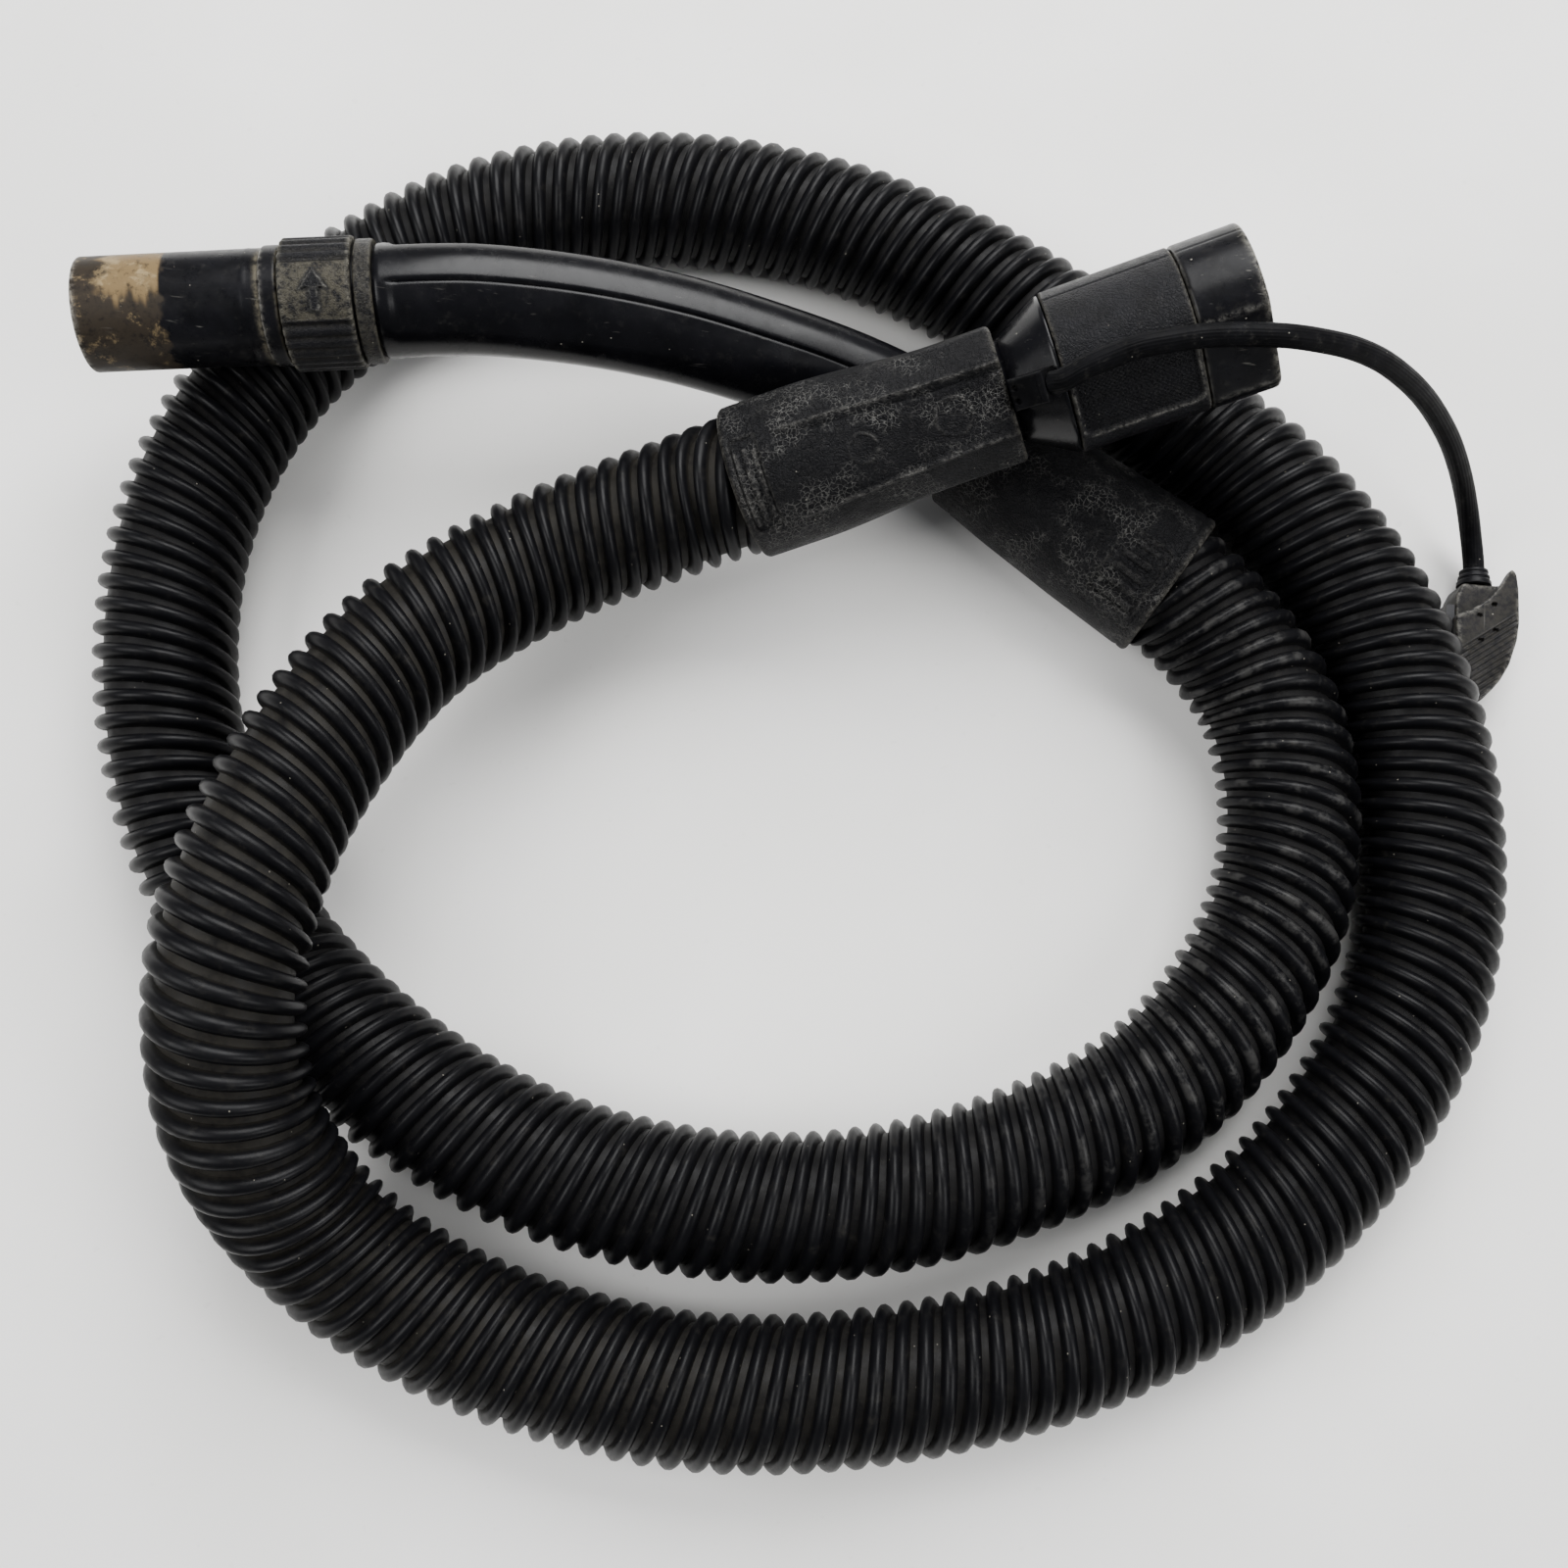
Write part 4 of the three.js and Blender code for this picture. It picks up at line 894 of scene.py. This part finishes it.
def makeGrip():
    # a taper with a rounded mouth, one recessed blank label, a faint mould line, and the outlet's pocket
    length = grip["length"]
    x = stationsBetween(0, length, 0.6, 1.8)[:, None]
    angle = fullTurn(320)
    radius = np.interp(x, [0, 30, 55, length], [grip["mouth"], 22.9, 21.4, grip["rear"]])
    radius = radius - lipDrop(x, 0, length, 1.8)
    turn = angle - np.radians(grip["labelAngle"])
    across = radius * np.sin(turn)
    facing = np.cos(turn) > 0
    halfX, halfAcross = grip["labelHalf"]
    outside = roundedBox(x - grip["labelCentre"], across, halfX, halfAcross, 1.8)
    bars = labelBars(x - grip["labelCentre"], across, halfX, halfAcross, 5)
    onLabel = smooth(outside, 0.3, -0.3)
    radius = radius - facing * onLabel * (grip["labelDepth"] - 0.6 * bars)
    radius = radius + 0.12 * bell(radius * np.sin(angle - np.radians(15)), 0.35) * smooth(x, 2, 5)
    radius = radius - 0.35 * (bell(x - 70.5, 0.45) + bell(x - 3.6, 0.45))
    bore = np.where(x < grip["socketEnd"], grip["socketRadius"],
                    np.where(x < grip["tubeSeat"], grip["bore"], grip["tubeBore"]))
    kept = outsideWindow(x, angle, grip["outletStation"], grip["outletAngle"], grip["outletHalf"], 21.8)
    edge = nearEnds(x, 0, length, 1.2)
    labelRim = facing * np.maximum(bell(outside, 0.5), 0.6 * bars * onLabel)
    material = wornMaterial("grained grip vinyl", "leather-grained vinyl", "#807e79", 0.45)
    makeShell("grained_grip", x, angle, radius, bore, handle, material, "hose_assembly", "cuff_vinyl",
              "handle_grip", kept, worn=np.maximum(0.5 * edge, 0.25 * labelRim), grime=0.12 * edge)


tube = {"radius": 16.5, "bore": 14.6, "bandAngle": 106.5, "bandHalf": 26.5, "step": 0.8}


def makeCurvedTube():
    # a bent tube with two fine steps running along it, faded out before the collar
    route = routeLine(tubeRoute)
    length = route[1][-1]
    s = np.unique(np.append(np.linspace(0, length, 200), length - np.array([0.0004, 0.0002])))[:, None]
    angle = fullTurn(240)
    off = np.degrees(np.abs(np.angle(np.exp(1j * (angle - np.radians(tube["bandAngle"]))))))
    fade = smooth(length - s, 0.0035, 0.006)
    stepDown = smooth(off, tube["bandHalf"] - 1.5, tube["bandHalf"] + 1.5) * smooth(off, 100, 60)
    groove = bell(off - tube["bandHalf"], 1.6)
    rim = 0.4 * bell(length - s, 0.0006)
    radius = (tube["radius"] - fade * (tube["step"] * stepDown + 0.5 * groove) - rim) * mm
    walls = [sweep(route, s + 0 * angle, angle + 0 * s, side + 0 * radius).reshape(-1, 3)
             for side in (radius, tube["bore"] * mm)]
    faces = shellFaces(len(s), angle.size, np.ones((len(s) - 1, angle.size), bool))
    makePiece("bent_tube", np.concatenate(walls), faces, plainPlastic("polished ABS"), "hose_assembly",
              ["curved_tube"], sharpAngle=50)


wandAxis = np.array(joints["bleed_ring_turn"]["axis"])
wandAxis /= np.linalg.norm(wandAxis)
ringMiddle = 16.35         # mm from the curved tube's end, where the ring joint's own point lies
wand = localFrame(np.array(joints["bleed_ring_turn"]["pos_m"]) / mm - wandAxis * ringMiddle, wandAxis)
ring = {
    "start": 6.15, "end": 26.55, "radius": 19.0, "bore": 16.1, "flutes": 30, "fluteDepth": 0.75,
    "padAngle": 73.0, "padHalf": 26.0, "windowAngle": 210.0, "windowHalf": (5.0, 3.0),
    "arrowHeight": 0.6, "rimRadius": 0.9,
}
windowEdges = ringMiddle + np.array([-1, 1]) * ring["windowHalf"][0]
endTube = {
    "spigot": 13.97, "spigotBore": 12.27, "spigotLength": 14.0, "seat": 15.6, "shoulderStart": 27.05,
    "shoulderEnd": 32.25, "shoulder": 17.2, "end": 84.55, "radius": 16.3, "bore": 14.2,
    "seatStart": 5.75, "foot": 16.55, "ribStation": 36.5,
    "slotAngle": 270.0, "springAngle": 180.0, "springHalf": (5.2, 2.55), "springDepth": 1.7,
}


def arrowShape(u, v):
    # an arrow pointing to +v: the larger of a triangle head and a stem, as a distance outside
    head = np.maximum(np.abs(u) * 0.84 + (v - 6.2) * 0.54, -(v - 0.4))
    stem = np.maximum(np.abs(u) - 1.3, np.abs(v + 2.6) - 3.4)
    return np.minimum(head, stem)


def makeRing():
    # a fluted band with a smooth pad that carries a raised arrow, and the bleed window on the far side
    start, end, rimRadius = ring["start"], ring["end"], ring["rimRadius"]
    x = np.unique(np.append(stationsBetween(start, end, 0.3, rimRadius), windowEdges))[:, None]
    angle = fullTurn(480)
    off = np.angle(np.exp(1j * (angle - np.radians(ring["padAngle"]))))
    onPad = smooth(np.degrees(np.abs(off)), ring["padHalf"] + 1.5, ring["padHalf"] - 1.5)
    flute = (0.5 - 0.5 * np.cos(angle * ring["flutes"])) ** 1.6 * (1 - onPad)
    arrow = arrowShape(x - ringMiddle, off * ring["radius"])
    inFront = np.abs(off) < 1
    radius = ring["radius"] - ring["fluteDepth"] * flute - 0.25 * onPad - lipDrop(x, start, end, rimRadius)
    radius = radius + ring["arrowHeight"] * smooth(arrow, 0.15, -0.2) * inFront
    kept = outsideWindow(x, angle, ringMiddle, ring["windowAngle"], ring["windowHalf"], 17.5)
    edge = nearEnds(x, start, end, 1.0)
    dirt = np.maximum(0.08 * flute, np.maximum(edge * 0.3, 0.35 * onPad * smooth(arrow, 0.2, 1.2)))
    material = wornMaterial("fluted ring ABS", "spark-textured ABS", "#94928a", 0.35, "#857f6c", 0.5)
    makeShell("fluted_ring", x, angle, radius, ring["bore"], wand, material, "bleed_ring", "moulded_plastic",
              "control_ring", kept, worn=np.maximum(0.5 * edge, 0.9 * bell(arrow + 0.1, 0.35) * inFront),
              grime=dirt)


def makeEndTube():
    # Spigot, ring seat, shoulder and straight tube are one profile with short steps between them
    e = endTube
    step = 0.03
    stepsAt = [e["seatStart"], e["shoulderStart"], e["shoulderEnd"]]
    x = np.unique(np.round(np.concatenate([
        stepsAt, np.array(stepsAt) + step, windowEdges, np.linspace(-e["spigotLength"], e["seatStart"], 12),
        np.linspace(5.8, e["shoulderStart"], 50),
        stationsBetween(e["shoulderStart"] + step, e["shoulderEnd"], 0.4, 0.9),
        stationsBetween(e["shoulderEnd"] + step, e["end"], 0.7, 0.6)]), 4))[:, None]
    angle = fullTurn(280)
    outerX = [-e["spigotLength"], *np.add.outer(stepsAt, [0, step]).ravel(), e["end"]]
    outerR = np.repeat([e["spigot"], e["seat"], e["shoulder"]], 2).tolist() + [e["foot"], e["radius"]]
    radius = np.interp(x, outerX, outerR)
    onShoulder = (x > e["shoulderStart"]) & (x <= e["shoulderEnd"])
    radius = radius - onShoulder * lipDrop(x, e["shoulderStart"] + step, e["shoulderEnd"], 0.8)
    radius = radius - (x > e["shoulderEnd"]) * lipDrop(x, e["shoulderEnd"] - 2, e["end"], 0.6)
    radius = radius + 0.12 * bell(x - e["ribStation"], 0.5)
    springTurn = angle - np.radians(e["springAngle"])
    inPocket = (np.abs(x - ringMiddle) < e["springHalf"][0]) & (np.cos(springTurn) > 0) \
        & (np.abs(e["seat"] * np.sin(springTurn)) < e["springHalf"][1])
    radius = radius - inPocket * e["springDepth"]
    bore = np.interp(x, [e["shoulderStart"], e["shoulderEnd"]], [e["spigotBore"], e["bore"]]) \
        + 0.9 * smooth(x, e["end"] - 1.2, e["end"])
    kept = outsideWindow(x, angle, ringMiddle, e["slotAngle"], ring["windowHalf"], e["seat"])
    edge = bell(e["end"] - x, 1.0) + 0.6 * onShoulder * bell(x - e["shoulderEnd"], 0.9)
    corner = bell(x - e["shoulderEnd"] - 0.5, 0.8) + bell(x - e["shoulderStart"], 0.6)
    fromMouth = e["end"] - x
    ragged = 0.8 * np.sin(angle * 9) + 0.5 * np.sin(angle * 23 + 1)
    turn = np.degrees(angle) + 6 * np.sin(x * 0.9) + 4 * np.sin(x * 2.3)
    strip = smooth(fromMouth, 24.9, 24.5) * smooth(fromMouth + 2 * ragged, 7, 11)
    makeShell("straight_end", x, angle, radius, bore, wand, endTubeMaterial(), "hose_assembly",
              "satin_plastic", "end_tube", kept, worn=0.8 * edge, grime=0.35 * corner,
              taped=smooth(fromMouth + ragged, 25.5, 24.6),
              strip=strip * smooth(turn, 70, 84) * smooth(turn, 215, 200))


def endTubeMaterial():
    # satin ABS with scuffs, and near the mouth the brown film and tan patch that old tape leaves
    material, add, layers = plasticMaterial("taped tube ABS", finishes["satin ABS"])
    patches = add("noise", layers["place"], 1 / (7 * mm), 7.0, 0.65)
    flakes = add("noise", layers["place"], 1 / (2.0 * mm), 8.0, 0.75)
    names = ("taped", "strip", "worn", "grime")
    taped, strip, worn, grime = (add("attribute", attribute_name=key) for key in names)
    film = add("times", taped, add("ramp", flakes, 0.3, 0.52, 0.25, 1.0))
    onTape = add("times", taped, add("ramp", patches, 0.55, 0.62))
    colour = layers["colour"]
    for mask, amount, over in (
            (film, 0.75, "#2f2921"),
            (add("times", onTape, add("ramp", flakes, 0.46, 0.56)), 0.5, "#76664a"),
            (add("times", strip, add("ramp", flakes, 0.34, 0.5, 0.35, 1.0)), 0.85, "#6d5b3f"),
            (add("times", strip, add("ramp", patches, 0.5, 0.62)), 0.4, "#98896a"),
            (add("times", worn, add("ramp", flakes, 0.4, 0.62)), 0.5, "#b5b2aa"),
            (add("times", grime, add("ramp", flakes, 0.36, 0.6)), 0.6, "#9a927c")):
        colour = layOver(add, colour, mask, amount, over)
    layers["colour"] = colour
    layers["roughness"] = add("plus", layers["roughness"], add("times", film, 0.15))
    return finishMaterial(material, add, layers)


def makeCollarBand():
    start, end = 0.35, 5.4
    profile = [(start, 14.4), (end, 14.4), (end, 17.4), (4.9, 17.9), (0.9, 17.9), (start, 17.4)]
    outside = lambda p: np.hypot(p[..., 1], p[..., 2]) > 16
    layers = {
        "worn": lambda p: 0.15 + 0 * p[..., 0],
        "grime": lambda p: 0.06 * outside(p) + 0.3 * nearEnds(p[..., 0], start, end, 0.8),
    }
    material = wornMaterial("grimy collar ABS", "spark-textured ABS", "#7d7b75", 0.3, "#857f6c", 0.45)
    turnedPiece("tube_collar", profile, wand, material, "hose_assembly", ["collar_band"],
                radius=0.35, layers=layers)


def dressCadNodes():
    # inner pieces and blades keep their CAD shape and get a finish
    screws = [f"shell_screw_{i}" for i in (1, 2, 3, 4)]
    blades = ["plug_blade_1", "plug_blade_2", "outlet_contact_1", "outlet_contact_2"]
    for material, names in (
            (metalMaterial("zinc-plated steel", "#b9bcc0", "#8d8c88", (0.28, 0.42)),
             ["swivel_retaining_clip", "ring_spring"] + screws),
            (metalMaterial("nickel-plated brass", "#cfc8b6", "#9a8f77", (0.22, 0.38)), blades),
            (plainPlastic("moulded nylon"), ["machine_ferrule", "handle_ferrule", "plug_blade_plate"]),
            (plainPlastic("seal rubber"), ["swivel_seal", "handle_seal", "nose_seal"]),
            (plainPlastic("spark-textured ABS"), ["outlet_socket"])):
        for name in names:
            mesh = frame["nodes"][name].data
            mesh.materials.clear()
            mesh.materials.append(material)


def makeStage():
    # matt paper on the floor, a dim even sky and three softboxes
    half = studio["floorHalfWidth"]
    mesh = bpy.data.meshes.new("floor")
    corners = [(-half, -half, 0), (half, -half, 0), (half, half, 0), (-half, half, 0)]
    mesh.from_pydata(corners, [], [(0, 1, 2, 3)])
    material, add, place = startMaterial("matt paper")
    clouds = add("ramp", add("noise", place, 9.0, 6.0), 0.35, 0.65)
    fibres = add("ramp", add("noise", place, 260.0, 6.0), 0.66, 0.74)
    paper = add("mix", clouds, studio["floorColour"], studio["floorShade"])
    colour = layOver(add, paper, fibres, 0.12, "#b9b6b0")
    mesh.materials.append(finishMaterial(material, add, {"colour": colour, "roughness": 0.85, "shine": 0.2}))
    floor = bpy.data.objects.new("floor", mesh)
    bpy.context.scene.collection.objects.link(floor)
    world = bpy.data.worlds.new("studio")
    world.use_nodes = True
    background = world.node_tree.nodes["Background"]
    background.inputs["Color"].default_value = linear(studio["skyColour"])
    background.inputs["Strength"].default_value = studio["skyStrength"]
    bpy.context.scene.world = world
    for name, (place, size, watts) in studio["lamps"].items():
        data = bpy.data.lights.new(name, "AREA")
        data.size, data.energy = size, watts
        lamp = bpy.data.objects.new(name, data)
        lamp.location = place
        lamp.rotation_euler = (-Vector(place)).to_track_quat("-Z", "Y").to_euler()
        bpy.context.scene.collection.objects.link(lamp)


makeCamera()
makeStage()
makeHose()
cordPiece, cordLine = makeCord()
makeCuff()
makeCone()
makeConnectorShells()
makeNose()
makeRelief()
plugPieces = makePlug()
makeGrip()
makeCurvedTube()
makeCollarBand()
makeRing()
makeEndTube()
dressCadNodes()
print("all pieces made")
